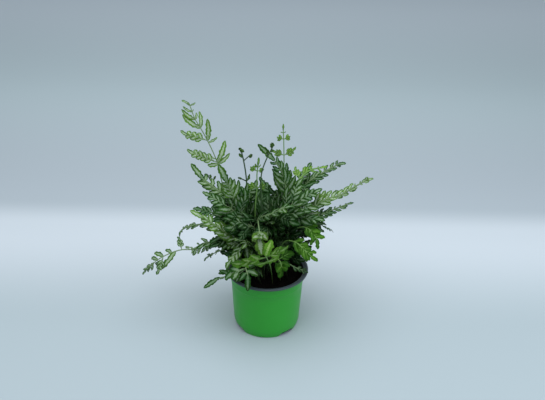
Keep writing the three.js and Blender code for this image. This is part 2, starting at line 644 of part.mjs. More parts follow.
// The blades of a frond that is drawn: the one at its end, the chosen pinnae, then the combs
function drawnBlades(frond, curve, owner) {
  const distanceAt = (at) => {
    const i = Math.min(Math.floor(at), frond.path.length - 1);
    return curve.reached[i + 1] + (curve.reached[i + 2] - curve.reached[i + 1]) * (at - i);
  };
  const rows = (frond.pinnae ?? []).map(([at, ...row]) => [distanceAt(at), ...row]);
  for (const comb of frond.combs ?? []) {
    const [from, to] = [distanceAt(comb.from), distanceAt(comb.to)];
    for (let j = 0; j < comb.pairs; j += 1) {
      const share = j / (comb.pairs - 1);
      const between = (first, last) => first + (last - first) * share;
      for (const [side, [angle, first, last]] of [[1, comb.left], [-1, comb.right]]) {
        const seed = owner * 40 + rows.length;
        const long = between(first, last) * (1 + 0.12 * draw(seed, 2));
        rows.push([between(from, to), side * (angle + 5 * draw(seed, 1)), long, between(...comb.wide)]);
      }
    }
  }
  const tip = frond.tip ? vec(...frond.tip) : null;
  const end = curve.points[curve.points.length - 1];
  const leaflet = { ...PLAIN, end: tip?.distanceTo(end), endWide: frond.wide };
  const crown = tip ? leaflet : { ...PLAIN, stem: 1.5, curl: frond.coil };
  const blades = [{ distance: curve.length, side: 0, plan: crown, tip }];
  for (const [distance, angle, long, wide, lobes = 0] of rows) {
    const plan = { ...PLAIN, angle: Math.abs(angle), sag: 0.15, wide, endWide: wide, end: long };
    plan.lift = 5 * draw(owner * 40 + blades.length, 3);
    if (lobes === "coil") {
      Object.assign(plan, { stem: long, curl: wide / 2, end: 0 });
    } else if (lobes) {
      const end = Math.min(wide * 1.9, long * 0.45);
      Object.assign(plan, { pairs: lobes, stem: long * 0.12, end, long: wide * 1.5 });
      plan.pitch = (long - plan.stem - plan.end) / lobes;
    }
    blades.push({ distance, side: Math.sign(angle), plan });
  }
  return blades;
}

// A frond's stalk as a sheet; each blade gets the corners of its base and its directions there
function growStalk(frond, curve, blades) {
  const sheet = new Sheet();
  const stations = [...new Set(blades.map((blade) => blade.distance))].sort((a, b) => a - b);
  let back = null;
  let reached = 0;
  const step = (distance) => {
    const place = stalkPlace(curve, distance, frond.face);
    const half = (STALK_HALF + (STALK_TOP - STALK_HALF) * (distance / curve.length)) * frond.girth;
    const next = [1, -1].map((side) => sheet.add(mix([place.point, 1], [place.left, side * half]), half));
    if (back) sheet.fan(back[1], next[1], next[0], back[0]);
    back = next;
    reached = distance;
  };
  step(0);
  for (const station of stations) {
    const ends = station === curve.length;
    const stretch = station - reached - (ends ? 0 : PAIR_GAP / 2);
    const steps = Math.max(reached ? 1 : 2, Math.round(stretch / STALK_STEP));
    const start = reached;
    for (let i = 1; i <= steps; i += 1) step(start + (stretch * i) / steps);
    const near = back;
    if (!ends) step(station + PAIR_GAP / 2);
    for (const blade of blades.filter((each) => each.distance === station)) {
      blade.at = stalkPlace(curve, station, frond.face);
      if (blade.tip) {
        const aim = unit(blade.tip.clone().sub(blade.at.point));
        blade.at = facing(blade.at.point, aim, curve.side, frond.face);
      }
      if (blade.side === 0) blade.corners = back;
      else blade.corners = blade.side > 0 ? [near[0], back[0]] : [back[1], near[1]];
    }
  }
  return sheet;
}

const ferns = [];
for (const [name, values] of Object.entries(DRAWN)) {
  const frond = { girth: 1, ...values };
  const curveFor = (shift) => drawnCurve(frond, shift);
  ferns.push({ name, frond, look: frond.look, curveFor, bladesOn: drawnBlades.bind(null, frond) });
}
for (const [name, values] of Object.entries(GROWN)) {
  const frond = { face: 0, size: 1, girth: 1, ...values };
  const curveFor = (shift) => grownCurve(frond, shift);
  ferns.push({ name, frond, look: "leaf", curveFor, bladesOn: grownBlades.bind(null, frond) });
}

// Stalks first: each turns its root about the pot's axis, or moves its middle back or forward, until it is
// clear of the earlier ones
const SHIFTS = [];
for (const turn of [0, 6, -6, 12, -12, 18, -18, 24, -24, 32, -32, 40, -40]) {
  for (const out of [0, 3, -3, 6]) {
    for (const back of [0, 3, -3, 6, -6]) SHIFTS.push({ turn, out, back });
  }
}
const shiftCost = ({ turn, out, back }) => Math.abs(turn) + 3 * Math.abs(out) + 2 * Math.abs(back);
SHIFTS.sort((a, b) => shiftCost(a) - shiftCost(b));

ferns.forEach((fern, owner) => {
  for (const shift of SHIFTS) {
    const curve = fern.curveFor(shift);
    const steps = Math.ceil(curve.length / POINT_SPACING);
    const line = [];
    for (let i = 0; i <= steps; i += 1) line.push(stalkPlace(curve, (curve.length * i) / steps, 0).point);
    const above = line.filter((point) => point.z > SOIL_LEVEL - ROOT_DEPTH);
    const meets = (point) => around(point, 2).some((other) => other.point.distanceTo(point) < STALKS_APART);
    if (above.some(meets)) continue;
    fern.curve = curve;
    occupy(line, owner, ROUND_STALK);
    break;
  }
  if (!fern.curve) throw new Error(`the stalk of ${fern.name} meets another`);
});

// Then the blades, each bent the least that keeps it clear
ferns.forEach((fern, owner) => {
  const blades = fern.bladesOn(fern.curve, owner);
  const sheet = growStalk(fern.frond, fern.curve, blades);
  for (const { at, side, plan, corners } of blades) {
    const base = corners.map((corner) => sheet.points[corner]);
    const origin = mix([base[0], 0.5], [base[1], 0.5]);
    for (const bend of BENDS) {
      const blade = bentBlade(base, at, side, plan, bend);
      const points = cover(blade);
      if (!points.every((point) => isFree(point, owner, origin))) continue;
      sheet.graft(blade, corners);
      occupy(points, owner, ROUND_BLADE);
      break;
    }
  }
  fern.sheet = sheet;
});

// Closed solid from a geometry: one vertex at each place, no flat triangles, faces outward
function closed(geometry) {
  geometry.deleteAttribute("normal");
  geometry.deleteAttribute("uv");
  const merged = mergeVertices(geometry, 1e-4);
  const position = merged.getAttribute("position");
  const index = [];
  let volume = 0;
  for (let i = 0; i < merged.index.count; i += 3) {
    const corners = [0, 1, 2].map((k) => merged.index.getX(i + k));
    if (new Set(corners).size < 3) continue;
    const [a, b, c] = corners.map((corner) => new THREE.Vector3().fromBufferAttribute(position, corner));
    volume += a.dot(cross(b, c));
    index.push(...corners);
  }
  if (volume < 0) index.reverse();
  merged.setIndex(index);
  return merged;
}

function toManifold(geometry) {
  const solid = closed(geometry);
  const vertProperties = new Float32Array(solid.getAttribute("position").array);
  const triVerts = new Uint32Array(solid.index.array);
  return new wasm.Manifold(new wasm.Mesh({ numProp: 3, vertProperties, triVerts }));
}

function fromManifold(solid) {
  const mesh = solid.getMesh();
  const geometry = new THREE.BufferGeometry();
  geometry.setAttribute("position", new THREE.BufferAttribute(new Float32Array(mesh.vertProperties), 3));
  geometry.setIndex(new THREE.BufferAttribute(new Uint32Array(mesh.triVerts), 1));
  return geometry;
}

function makePot() {
  const outline = [
    [0, 0],
    [FOOT_RADIUS, 0],
    [CHAMFER_RADIUS, CHAMFER_HEIGHT],
    [SHOULDER_RADIUS - LEDGE_STEP * 0.5, LEDGE_HEIGHT - LEDGE_STEP],
    [SHOULDER_RADIUS + LEDGE_STEP * 0.5, LEDGE_HEIGHT],
    [NECK_RADIUS, POT_HEIGHT - RIM_DEPTH],
    [RIM_RADIUS, POT_HEIGHT - RIM_DEPTH],
    [RIM_RADIUS, POT_HEIGHT - 0.6],
    [RIM_RADIUS - 0.6, POT_HEIGHT],
    [RIM_INNER_RADIUS, POT_HEIGHT],
    [NECK_RADIUS - WALL, POT_HEIGHT - RIM_DEPTH + 0.8],
    [CHAMFER_RADIUS - WALL, CHAMFER_HEIGHT + 0.3],
    [FOOT_RADIUS - WALL + 0.3, WALL],
    [0, WALL],
  ];
  const lathe = new THREE.LatheGeometry(outline.map(([r, z]) => new THREE.Vector2(r, z)), POT_SIDES);
  lathe.rotateX(Math.PI / 2);
  let pot = toManifold(lathe);
  for (const turn of CUT_TURNS) pot = pot.subtract(footCut(CUT_WIDE, CUT_NARROW, CUT_HEIGHT, turn));
  for (const turn of SLOT_TURNS) {
    pot = pot.subtract(footCut(SLOT_WIDTH, SLOT_WIDTH * 0.6, SLOT_HEIGHT, turn));
  }
  return fromManifold(pot);
}

// A cutter through the foot: a trapezium standing on the table, pushed in from outside
function footCut(wide, narrow, height, turn) {
  const outline = new THREE.Shape([
    new THREE.Vector2(-wide / 2 - 0.8, -1),
    new THREE.Vector2(wide / 2 + 0.8, -1),
    new THREE.Vector2(narrow / 2, height),
    new THREE.Vector2(-narrow / 2, height),
  ]);
  const cutter = new THREE.ExtrudeGeometry(outline, { depth: 20, bevelEnabled: false });
  cutter.rotateX(Math.PI / 2);
  cutter.rotateZ(Math.PI / 2);
  cutter.translate(CUT_DEPTH, 0, 0);
  cutter.rotateZ(radians(turn));
  return toManifold(cutter);
}

// The soil fills the pot to its lumpy surface, with a plain hole for each stalk
function makeSoil() {
  const innerRadius = (z) => {
    const share = (z - CHAMFER_HEIGHT) / (POT_HEIGHT - RIM_DEPTH - CHAMFER_HEIGHT);
    return CHAMFER_RADIUS + (NECK_RADIUS - CHAMFER_RADIUS) * share - WALL - SEAT_GAP - 0.35;
  };
  const rings = [];
  for (let i = 1; i <= SOIL_RINGS; i += 1) rings.push([(innerRadius(SOIL_LEVEL) * i) / SOIL_RINGS, null]);
  rings.push([innerRadius(CHAMFER_HEIGHT + 1), CHAMFER_HEIGHT + 1]);
  rings.push([FOOT_RADIUS - WALL - SEAT_GAP - 0.4, WALL + SEAT_GAP + 0.2]);
  const positions = [0, 0, soilHeight(0, 0), 0, 0, WALL + SEAT_GAP + 0.2];
  const index = [];
  const at = (ring, side) => 2 + ring * SOIL_SIDES + (side % SOIL_SIDES);
  rings.forEach(([radius, level], ring) => {
    for (let side = 0; side < SOIL_SIDES; side += 1) {
      const angle = (2 * Math.PI * (side + 0.5 * (ring % 2))) / SOIL_SIDES;
      const [x, y] = [radius * Math.cos(angle), radius * Math.sin(angle)];
      positions.push(x, y, level ?? soilHeight(x, y));
      const [here, next] = [at(ring, side), at(ring, side + 1)];
      if (ring === rings.length - 1) index.push(1, next, here);
      if (ring === 0) {
        index.push(0, here, next);
        continue;
      }
      const [inner, beside] = [at(ring - 1, side), at(ring - 1, side + 1)];
      if (ring % 2) index.push(inner, here, beside, beside, here, next);
      else index.push(inner, here, next, inner, next, beside);
    }
  });
  const geometry = new THREE.BufferGeometry();
  geometry.setAttribute("position", new THREE.Float32BufferAttribute(positions, 3));
  geometry.setIndex(index);
  let soil = toManifold(geometry);
  for (const { sheet } of ferns) soil = soil.subtract(rootHole(sheet));
  return fromManifold(soil);
}

// A four-sided hole along a stalk's first straight stretch, wider than the stalk on every side
function rootHole(sheet) {
  const [l0, r0, l1, r1] = sheet.points;
  const [foot, head] = [mix([l0, 0.5], [r0, 0.5]), mix([l1, 0.5], [r1, 0.5])];
  const along = unit(head.clone().sub(foot));
  const across = unit(mix([l0, 1], [r0, -1]));
  const through = cross(along, across);
  const half = STALK_HALF + SEAT_GAP;
  const positions = [];
  for (const reach of [-SEAT_GAP, foot.distanceTo(head)]) {
    for (const [a, b] of [[1, 1], [-1, 1], [-1, -1], [1, -1]]) {
      positions.push(...mix([foot, 1], [along, reach], [across, a * half], [through, b * half]).toArray());
    }
  }
  const geometry = new THREE.BufferGeometry();
  geometry.setAttribute("position", new THREE.Float32BufferAttribute(positions, 3));
  const index = [0, 1, 2, 0, 2, 3, 4, 6, 5, 4, 7, 6];
  for (let i = 0; i < 4; i += 1) {
    const next = (i + 1) % 4;
    index.push(i, i + 4, next + 4, i, next + 4, next);
  }
  geometry.setIndex(index);
  return toManifold(geometry);
}

const group = new THREE.Group();

function place(name, geometry, look) {
  const mesh = new THREE.Mesh(geometry, new THREE.MeshStandardMaterial(COLOURS[look]));
  mesh.name = name;
  group.add(mesh);
}

place("pot", makePot(), "pot");
place("soil", makeSoil(), "soil");
for (const { name, look, sheet } of ferns) place(`frond_${name}`, sheet.geometry(), look);

export default group;
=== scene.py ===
"""A silver-striped fern in a two-colour nursery pot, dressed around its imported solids."""

import math

import bpy
import numpy as np
from mathutils import Matrix, Vector, kdtree, noise


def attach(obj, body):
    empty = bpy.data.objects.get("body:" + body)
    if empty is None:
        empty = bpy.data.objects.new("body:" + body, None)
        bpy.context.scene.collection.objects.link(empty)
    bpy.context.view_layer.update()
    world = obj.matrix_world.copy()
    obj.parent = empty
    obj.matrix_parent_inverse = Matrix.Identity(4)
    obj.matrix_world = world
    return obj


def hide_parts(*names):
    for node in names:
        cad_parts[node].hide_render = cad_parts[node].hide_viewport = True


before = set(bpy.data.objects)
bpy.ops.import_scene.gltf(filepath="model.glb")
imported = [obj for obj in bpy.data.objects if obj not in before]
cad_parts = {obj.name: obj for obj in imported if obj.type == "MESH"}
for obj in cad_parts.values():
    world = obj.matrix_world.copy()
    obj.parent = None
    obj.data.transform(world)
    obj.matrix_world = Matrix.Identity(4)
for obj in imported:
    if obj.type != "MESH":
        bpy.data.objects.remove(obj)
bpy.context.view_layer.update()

# Lengths below are in millimetres, and meshes are scaled to metres when they are made
MM = 0.001

# The pot, as in the solids
POT_HEIGHT = 94
RIM_RADIUS = 60
RIM_INNER_RADIUS = 56.3
RIM_DEPTH = 2.6
NECK_RADIUS = 54.3
LEDGE_HEIGHT = 76
LEDGE_STEP = 0.7
SHOULDER_RADIUS = 53
CHAMFER_HEIGHT = 9
CHAMFER_RADIUS = 48.8
FOOT_RADIUS = 46
WALL = 1.2
CUT_TURNS = (32, 130, 212, 310)
CUT_WIDE = 27
CUT_NARROW = 17
CUT_HEIGHT = 6.5
CUT_DEPTH = 42
SLOT_TURNS = (82, 172, 262, 352)
SLOT_WIDTH = 3
SLOT_HEIGHT = 1.8

# The soil, as in the solids
SOIL_LEVEL = 79
SOIL_MOUND = 5
SOIL_LUMP = 0.7
SEAT_GAP = 0.3

# The finer shapes of the pot and the soil
POT_SIDES = 180
FOOT_ROUND = 0.8
LIP_ROUND = 0.9
TOP_ROUND = 1.1
WALL_STEPS = 6
WALL_BULGE = 0.12
CUTTER_LONG = 20
SOIL_RINGS = 44
SOIL_SIDES = 132
SOIL_INSET = 0.35
CRUMB_SCALE = 0.22
CRUMB_HEIGHT = 1.5

# Stalks and leaflets, as in the solids
ROOT_DEPTH = 7
STALK_HALF = 0.8
STALK_TOP = 0.5
PAIR_GAP = 1.6
POINT_SPACING = 0.7
STALKS_APART = 3.1

# The leaves: half their thickness, how wavy their edges are, and how broad they are against the solids'
LEAF_HALF = 0.13
EDGE_WAVE = 0.14
USUAL_BROAD = 1.15

# How light leaves are from 0 to 1, on the fronds that are told apart and on the others: partly their own
# tone and partly painted shade, deeper on the others, which stand between and behind them
DRAWN_TINT = 0.3
GROWN_TINT = 0.12

# The band along a rib: half its width as a share of a leaflet's, and the place of its colours on a leaf
WING_SHARE = 0.3
WING_EDGE = 0.75
WING_ALONG = 0.4

# The rings of a stalk
STALK_RINGS = 44

# A crozier's coil: the turn and the tightening of each step, and the steps in the solids and in the scene
COIL_TURN = 46
COIL_TIGHTENING = 0.075
SOLID_STEPS = 7
SCENE_STEPS = 9

# How near the solids have to be to the tip of a coil or a blade that they have
COIL_NEAR = 1.1
TIP_NEAR = 0.5

# The camera, fitted to the pot's ellipses
CAMERA_AT = (5.71, -868.11, 653.47)
CAMERA_LOOKS_AT = (5.71, 0, 204.78)
CAMERA_ROLL = 1.12
CAMERA_LENS = 46.24
CAMERA_SENSOR = 36

# A blade's sizes and angles, as in the solids
PLAIN = dict(
    stem=0, pitch=0, long=0, wide=0, end=0, end_wide=0, pairs=0, taper=0.3, splay=50, lift=0, sag=0, curl=0,
)
SIZES = ("stem", "pitch", "long", "wide", "end", "end_wide")

# The blades of the fronds that are grown by rule, as in the solids
BARE_SHARE = 0.48
LOBED = (1, 1, 0)
BLADE = dict(stem=4, pitch=7, long=9.5, wide=4.8, end=13, end_wide=4.8)
BLADE_ANGLE = 60
BLADE_LIFT = 8
BLADE_SAG = 0.35
CROWN_PAIRS = 3
CROWN_LONG = 11

# The draws of each frond are numbered from a multiple of this, as in the solids
SEED_STEP = 40

# What a frond has unless it says otherwise
USUAL = dict(look="leaf", girth=1, pinnae=(), combs=())

# The fronds that are told apart, each along chosen points, as in the solids
# A pinna has its place on the path, angle, length, width, and pairs of lobes or a coil.
# A comb has the places where it starts and stops, its pairs, the angle and the first and last length of its
# left and of its right leaflets, and their first and last width.
DRAWN = {
    "tall_left": dict(
        face=0.95, root=(-16, 8), tip=(-124, 62, 327), wide=3,
        path=[
            (-56, 14, 188), (-67, 28, 219), (-74, 38, 244), (-88, 48, 273), (-98, 53, 290), (-105, 56, 301),
            (-113, 61, 322),
        ],
        pinnae=[
            (2.9, 92, 14, 8), (2.9, -80, 22, 6), (3, 49, 47, 6.5, 4), (3, -50, 32, 10), (3.15, 36, 14, 5),
            (3.9, -103, 14, 3), (4, 44, 40, 6, 3), (4, -14, 30, 9), (5, 27, 30, 7.5), (5, -30, 22, 7),
            (6, 30, 23, 6), (6, -28, 9, 4), (6.5, 58, 14, 4), (6.5, -34, 7, 3), (6.9, 50, 7, 3),
            (6.9, -98, 8, 3),
        ],
    ),
    "upper_left": dict(
        face=0.7, root=(-22, 6), tip=(-111, 32, 243), wide=7,
        path=[(-40, 8, 185), (-58, 16, 202), (-81, 24, 213), (-93, 28, 221)],
        combs=[(2, 3.85, 4, (43, 20, 14), (62, 17, 9), (6.5, 5))],
    ),
    "middle_left": dict(
        face=0.85, root=(-10, -2), tip=(-67, -9, 261), wide=8.5,
        path=[(-42, -2, 186), (-49, -3, 210), (-54, -4, 225), (-57, -5, 234)],
        combs=[(2, 3.7, 3, (55, 16, 8), (58, 22, 9), (6.5, 5))],
    ),
    "rear_centre": dict(
        face=0.95, root=(20, 0), tip=(-15, 26, 278), wide=6.5,
        path=[(25, 21, 186), (24, 23, 207), (23, 24, 221), (14, 26, 244), (7, 26, 254)],
        combs=[(2, 4.5, 5, (50, 26, 9), (28, 28, 9), (7, 4))],
    ),
    "far_right": dict(
        face=0.6, root=(17, 2), tip=(147, 20, 232), wide=3,
        path=[(40, 5, 168), (62, 8, 189), (78, 11, 200), (105, 17, 208), (121, 18, 219), (138, 20, 229)],
        combs=[(1.6, 5.9, 12, (36, 22, 6), (33, 18, 6), (5.5, 3))],
    ),
    "rear_right": dict(
        face=0.5, root=(17, 14), tip=(115, 91, 224), wide=4.5,
        path=[(32, 46, 168), (44, 64, 186), (63, 76, 201), (80, 82, 210), (103, 89, 221)],
        combs=[(2, 4.9, 8, (34, 20, 8), (35, 22, 10), (6, 3.5))],
    ),
    "low_right": dict(
        face=0.45, root=(25, 4), tip=(122, 19, 194), wide=3,
        path=[(50, 4, 157), (61, 5, 170), (85, 10, 182), (112, 16, 192)],
        combs=[(1.8, 3.9, 8, (36, 16, 6), (40, 15, 7), (5, 3))],
    ),
    "striped_left": dict(
        face=0.6, root=(-13, -18), tip=(-105, -33, 203), wide=5.5,
        path=[
            (-20, -17, 113), (-29, -17, 129), (-45, -20, 150), (-64, -25, 169), (-81, -29, 185),
            (-90, -30, 192),
        ],
        combs=[(2.4, 5.8, 7, (45, 20, 9), (30, 24, 10), (7.5, 4.5))],
    ),
    "trailing_left": dict(
        face=0.55, root=(-28, -5), tip=(-178, -32, 97), wide=3.5,
        path=[
            (-41, -7, 123), (-52, -9, 135), (-75, -14, 142), (-88, -17, 143), (-106, -20, 134),
            (-121, -25, 136), (-139, -27, 130), (-155, -29, 121), (-172, -31, 105),
        ],
        combs=[
            (2, 5, 6, (45, 12, 12), (48, 12, 12), (5, 5)),
            (8.4, 8.9, 2, (33, 10, 7), (38, 9, 6), (4, 3)),
        ],
        pinnae=[
            (5.3, -58, 19, 5.5, 2), (6, -85, 20, 4, 2), (6.5, 41, 32, 7.5), (6.8, -62, 10, 6),
            (7.5, 50, 26, 5, 2), (7.5, -35, 15, 7), (8, 42, 14, 4, 1), (8, -42, 12, 6),
        ],
    ),
    "bowed_left": dict(
        face=0.45, root=(-28, 8), tip=(-135, 40, 117), wide=3.5,
        path=[
            (-62, 20, 130), (-76, 24, 139), (-99, 31, 146), (-112, 35, 141), (-122, 37, 137),
            (-131, 39, 129),
        ],
        combs=[(1.8, 5.8, 6, (43, 13, 7), (40, 13, 6), (5, 3.5))],
    ),
    "twig_left": dict(
        face=0.4, root=(-25, 4), tip=(-97, 15, 94), wide=2.5,
        path=[(-43, 4, 114), (-56, 7, 118), (-76, 12, 110), (-86, 13, 103)],
        combs=[(2, 3.8, 4, (34, 10, 6), (33, 9, 6), (4, 2.5))],
    ),
    "rim_left": dict(
        face=0.55, root=(-24, -12), tip=(-90, -50, 89), wide=6,
        path=[(-30, -33, 111), (-40, -39, 106), (-60, -45, 105), (-67, -46, 104)],
        pinnae=[
            (2, 50, 12, 6), (2, -28, 29, 8.5), (2.5, 38, 13, 5.5), (2.6, -38, 17, 6), (3, 36, 10, 4),
            (3.6, 34, 7, 3.5),
        ],
    ),
    "rim_front": dict(
        face=0.1, root=(-9, -25), tip=(-25, -78, 104), wide=7.5,
        path=[(-28, -50, 134), (-29, -58, 129), (-26, -67, 124)],
        pinnae=[
            (1.8, 122, 14, 8), (1.5, -125, 22, 7.5), (2.5, 64, 16, 8), (2.05, -80, 32, 9, 1),
            (2.7, -52, 15, 6.5),
        ],
    ),
    "front_bright": dict(
        look="young", face=0.85, root=(8, -26), tip=(5, -67, 180), wide=8,
        path=[(5, -48, 124), (3, -65, 142), (-2, -75, 160)],
        pinnae=[
            (2.3, 102, 19, 8), (2.8, 66, 49, 9.5, 2), (2.3, -128, 18, 8), (2.8, -106, 33, 9, 2),
        ],
    ),
    "front_silver": dict(
        face=0, root=(-4, -12), tip=(-8, -69, 157), wide=11,
        path=[(-13, -32, 184), (-11, -47, 177), (-11, -52, 174)],
        combs=[(1.9, 2.75, 2, (50, 15, 12), (50, 15, 12), (7.5, 7))],
    ),
    "front_right": dict(
        face=0.4, root=(-7, -11), tip=(34, -38, 218), wide=5,
        path=[(-21, -12, 163), (-14, -16, 180), (5, -26, 197), (23, -34, 211)],
        combs=[(1.9, 3.85, 5, (39, 17, 9), (57, 15, 9), (6, 4.5))],
    ),
    "hanging_right": dict(
        look="young", face=0.7, root=(23, -9), tip=(71, -34, 146), wide=6.5,
        path=[(42, -12, 168), (52, -17, 172), (61, -22, 168), (68, -28, 160)],
        combs=[(2.2, 3.8, 3, (52, 15, 13), (50, 13, 14), (7, 6.5))],
    ),
    "hanging_near": dict(
        look="young", face=0.6, root=(18, -14), tip=(70, -52, 138), wide=6,
        path=[(31, -26, 155), (40, -33, 156), (49, -40, 151), (58, -47, 145)],
        combs=[(1.8, 3.8, 4, (49, 12, 11), (55, 15, 12), (6.5, 6))],
    ),
    "low_front_right": dict(
        look="young", face=0.2, root=(19, -18), tip=(18, -49, 107), wide=6.5,
        path=[(14, -34, 131), (19, -39, 126), (20, -43, 120)],
        combs=[(2, 2.75, 2, (55, 12, 12), (53, 11, 12), (6.5, 6.5))],
        pinnae=[(1.3, 82, 24, 7, 2)],
    ),
    "rim_right": dict(
        face=0.4, root=(26, -7), tip=(60, -18, 98), wide=3,
        path=[(31, -24, 115), (38, -23, 110), (52, -20, 102)],
        combs=[(1.9, 2.85, 3, (38, 9, 6), (38, 9, 7), (4, 3))],
    ),
    "crozier_high": dict(
        look="crozier", face=0.6, root=(-10, 6), coil=3.2, girth=1.35,
        path=[(-31, 6, 202), (-31, 8, 230), (-35, 9, 260), (-38, 9, 274)],
        pinnae=[(2, 52, 12, 4, "coil"), (2, -48, 10, 3.5), (3, -58, 11, 4.5, "coil"), (3.4, 40, 7, 3.5)],
    ),
    "crozier_left": dict(
        look="crozier", face=0.6, root=(-14, -2), coil=2.5, girth=1.2,
        path=[(-52, 18, 192), (-77, 32, 207), (-87, 38, 221)],
        pinnae=[(2.4, -50, 8, 4, "coil"), (2.4, 60, 8, 3.5), (2.8, -55, 6, 3)],
    ),
    "crozier_right": dict(
        look="crozier", face=0.6, root=(-9, -3), coil=2.7, girth=1.2,
        path=[(-10, -2, 207), (-9, -4, 252), (-4, -5, 268), (4, -5, 286)],
        pinnae=[(3.3, 28, 6, 3, "coil"), (3.7, -40, 5, 3)],
    ),
    "young_centre": dict(
        look="young", face=0.9, root=(-13, -4), tip=(-14, 2, 268), wide=4, girth=1.15,
        path=[(-18, 0, 196), (-16, 1, 223), (-16, 2, 248), (-15, 2, 256)],
        pinnae=[
            (2, 58, 13, 5, 1), (2, -62, 12, 5, 1), (3, 62, 11, 4, 1), (3, -50, 12, 4, 1), (3.7, 42, 9, 4),
            (3.7, -42, 11, 4),
        ],
    ),
    "young_high": dict(
        look="young", face=0.95, root=(15, 19), tip=(19, 60, 295), wide=3.5,
        path=[(23, 40, 184), (22, 54, 218), (21, 58, 248), (20, 60, 272), (19, 60, 286)],
        pinnae=[
            (3, 68, 18, 5, 2), (3, -58, 21, 5, 2), (4, 58, 10, 4, 1), (4, -58, 10, 4, 1), (4.7, 60, 7, 3),
            (4.7, -60, 7, 3),
        ],
    ),
    "young_right": dict(
        look="young", face=0.6, root=(11, 13), tip=(86, 68, 227), wide=4,
        path=[(22, 28, 182), (34, 40, 203), (44, 48, 216), (62, 60, 225), (73, 64, 226)],
        combs=[(3.4, 4.8, 3, (48, 11, 8), (36, 11, 7), (5, 3.5))],
        pinnae=[(2, 60, 13, 5), (2, -50, 12, 5), (3, 62, 20, 5, 2), (3, -36, 13, 5)],
    ),
}

# The fronds between and behind them, grown by rule, as in the solids
GROWN_KEYS = ("turn", "reach", "height", "lean", "dip", "root", "face", "size")
GROWN = {
    "left_high": (181, 92, 216, 18, -30, 16, 0.5, 1.1),
    "left_low": (175, 108, 184, 26, -10, 21, 0.5, 1.1),
    "left_inner": (200, 66, 186, 20, -20, 15, 0.5, 1),
    "left_skirt": (184, 96, 120, 30, 42, 24, 0.3, 1),
    "front_left": (226, 82, 128, 30, 36, 24, 0, 1.1),
    "front_left_up": (236, 50, 184, 14, -16, 17, 0.3, 1.1),
    "right_high": (10, 77, 217, 14, -26, 11, 0.5, 1.1),
    "right_inner": (345, 62, 196, 14, -16, 17, 0.5, 1.1),
    "right_low": (350, 82, 168, 24, 16, 24, 0.4, 1.1),
    "centre_up": (75, 26, 204, 4, -60, 12, 0.8, 1.1),
    "centre_low": (280, 38, 176, 10, -10, 7, 0, 1.1),
    "back_right": (56, 118, 182, 24, 22, 24, 0, 1.1),
    "back_middle": (86, 124, 150, 28, 32, 25, 0, 1.1),
    "back_left": (118, 118, 162, 26, 28, 24, 0, 1.1),
    "back_side": (141, 112, 176, 26, 8, 25, 0, 1.1),
    "back_skirt": (102, 92, 104, 34, 50, 29, 0, 1),
    "back_corner": (24, 108, 130, 30, 36, 28, 0, 1),
    "back_inner": (100, 72, 172, 16, 0, 16, 0, 1.1),
}

UP = np.array((0.0, 0.0, 1.0))


def vec(x, y, z):
    return np.array((x, y, z), float)


def between(a, b, share):
    return a + (b - a) * share


def size_of(v):
    return math.sqrt(v @ v)


def unit(v):
    return v / size_of(v)


def turned(a, b, angle):
    """The way a, turned by an angle towards the way b."""
    return a * math.cos(angle) + b * math.sin(angle)


def cross(a, b):
    return np.array((a[1] * b[2] - a[2] * b[1], a[2] * b[0] - a[0] * b[2], a[0] * b[1] - a[1] * b[0]))


FRONT = unit(vec(0, -1, 0.35))


def draw(piece, item):
    """The solids' fixed draw between -1 and 1 for one item of a numbered piece."""
    wave = math.sin(piece * 127.1 + item * 311.7 + 74.7) * 43758.5453
    return (wave - math.floor(wave)) * 2 - 1


def soil_height(x, y):
    share = math.hypot(x, y) / NECK_RADIUS
    lumps = math.sin(x * 0.31 + 1.3) * math.cos(y * 0.27 + 0.4) + math.sin(x * 0.11 - y * 0.17)
    return SOIL_LEVEL + SOIL_MOUND * (1 - share**2) + SOIL_LUMP * lumps * (1 - share**6)


# Meshes

WIDE_ACROSS = np.linspace(-1, 1, 5)
SLIM_ACROSS = np.linspace(-1, 1, 3)
LEAF_SLOT = 0
STALK_SLOT = 1


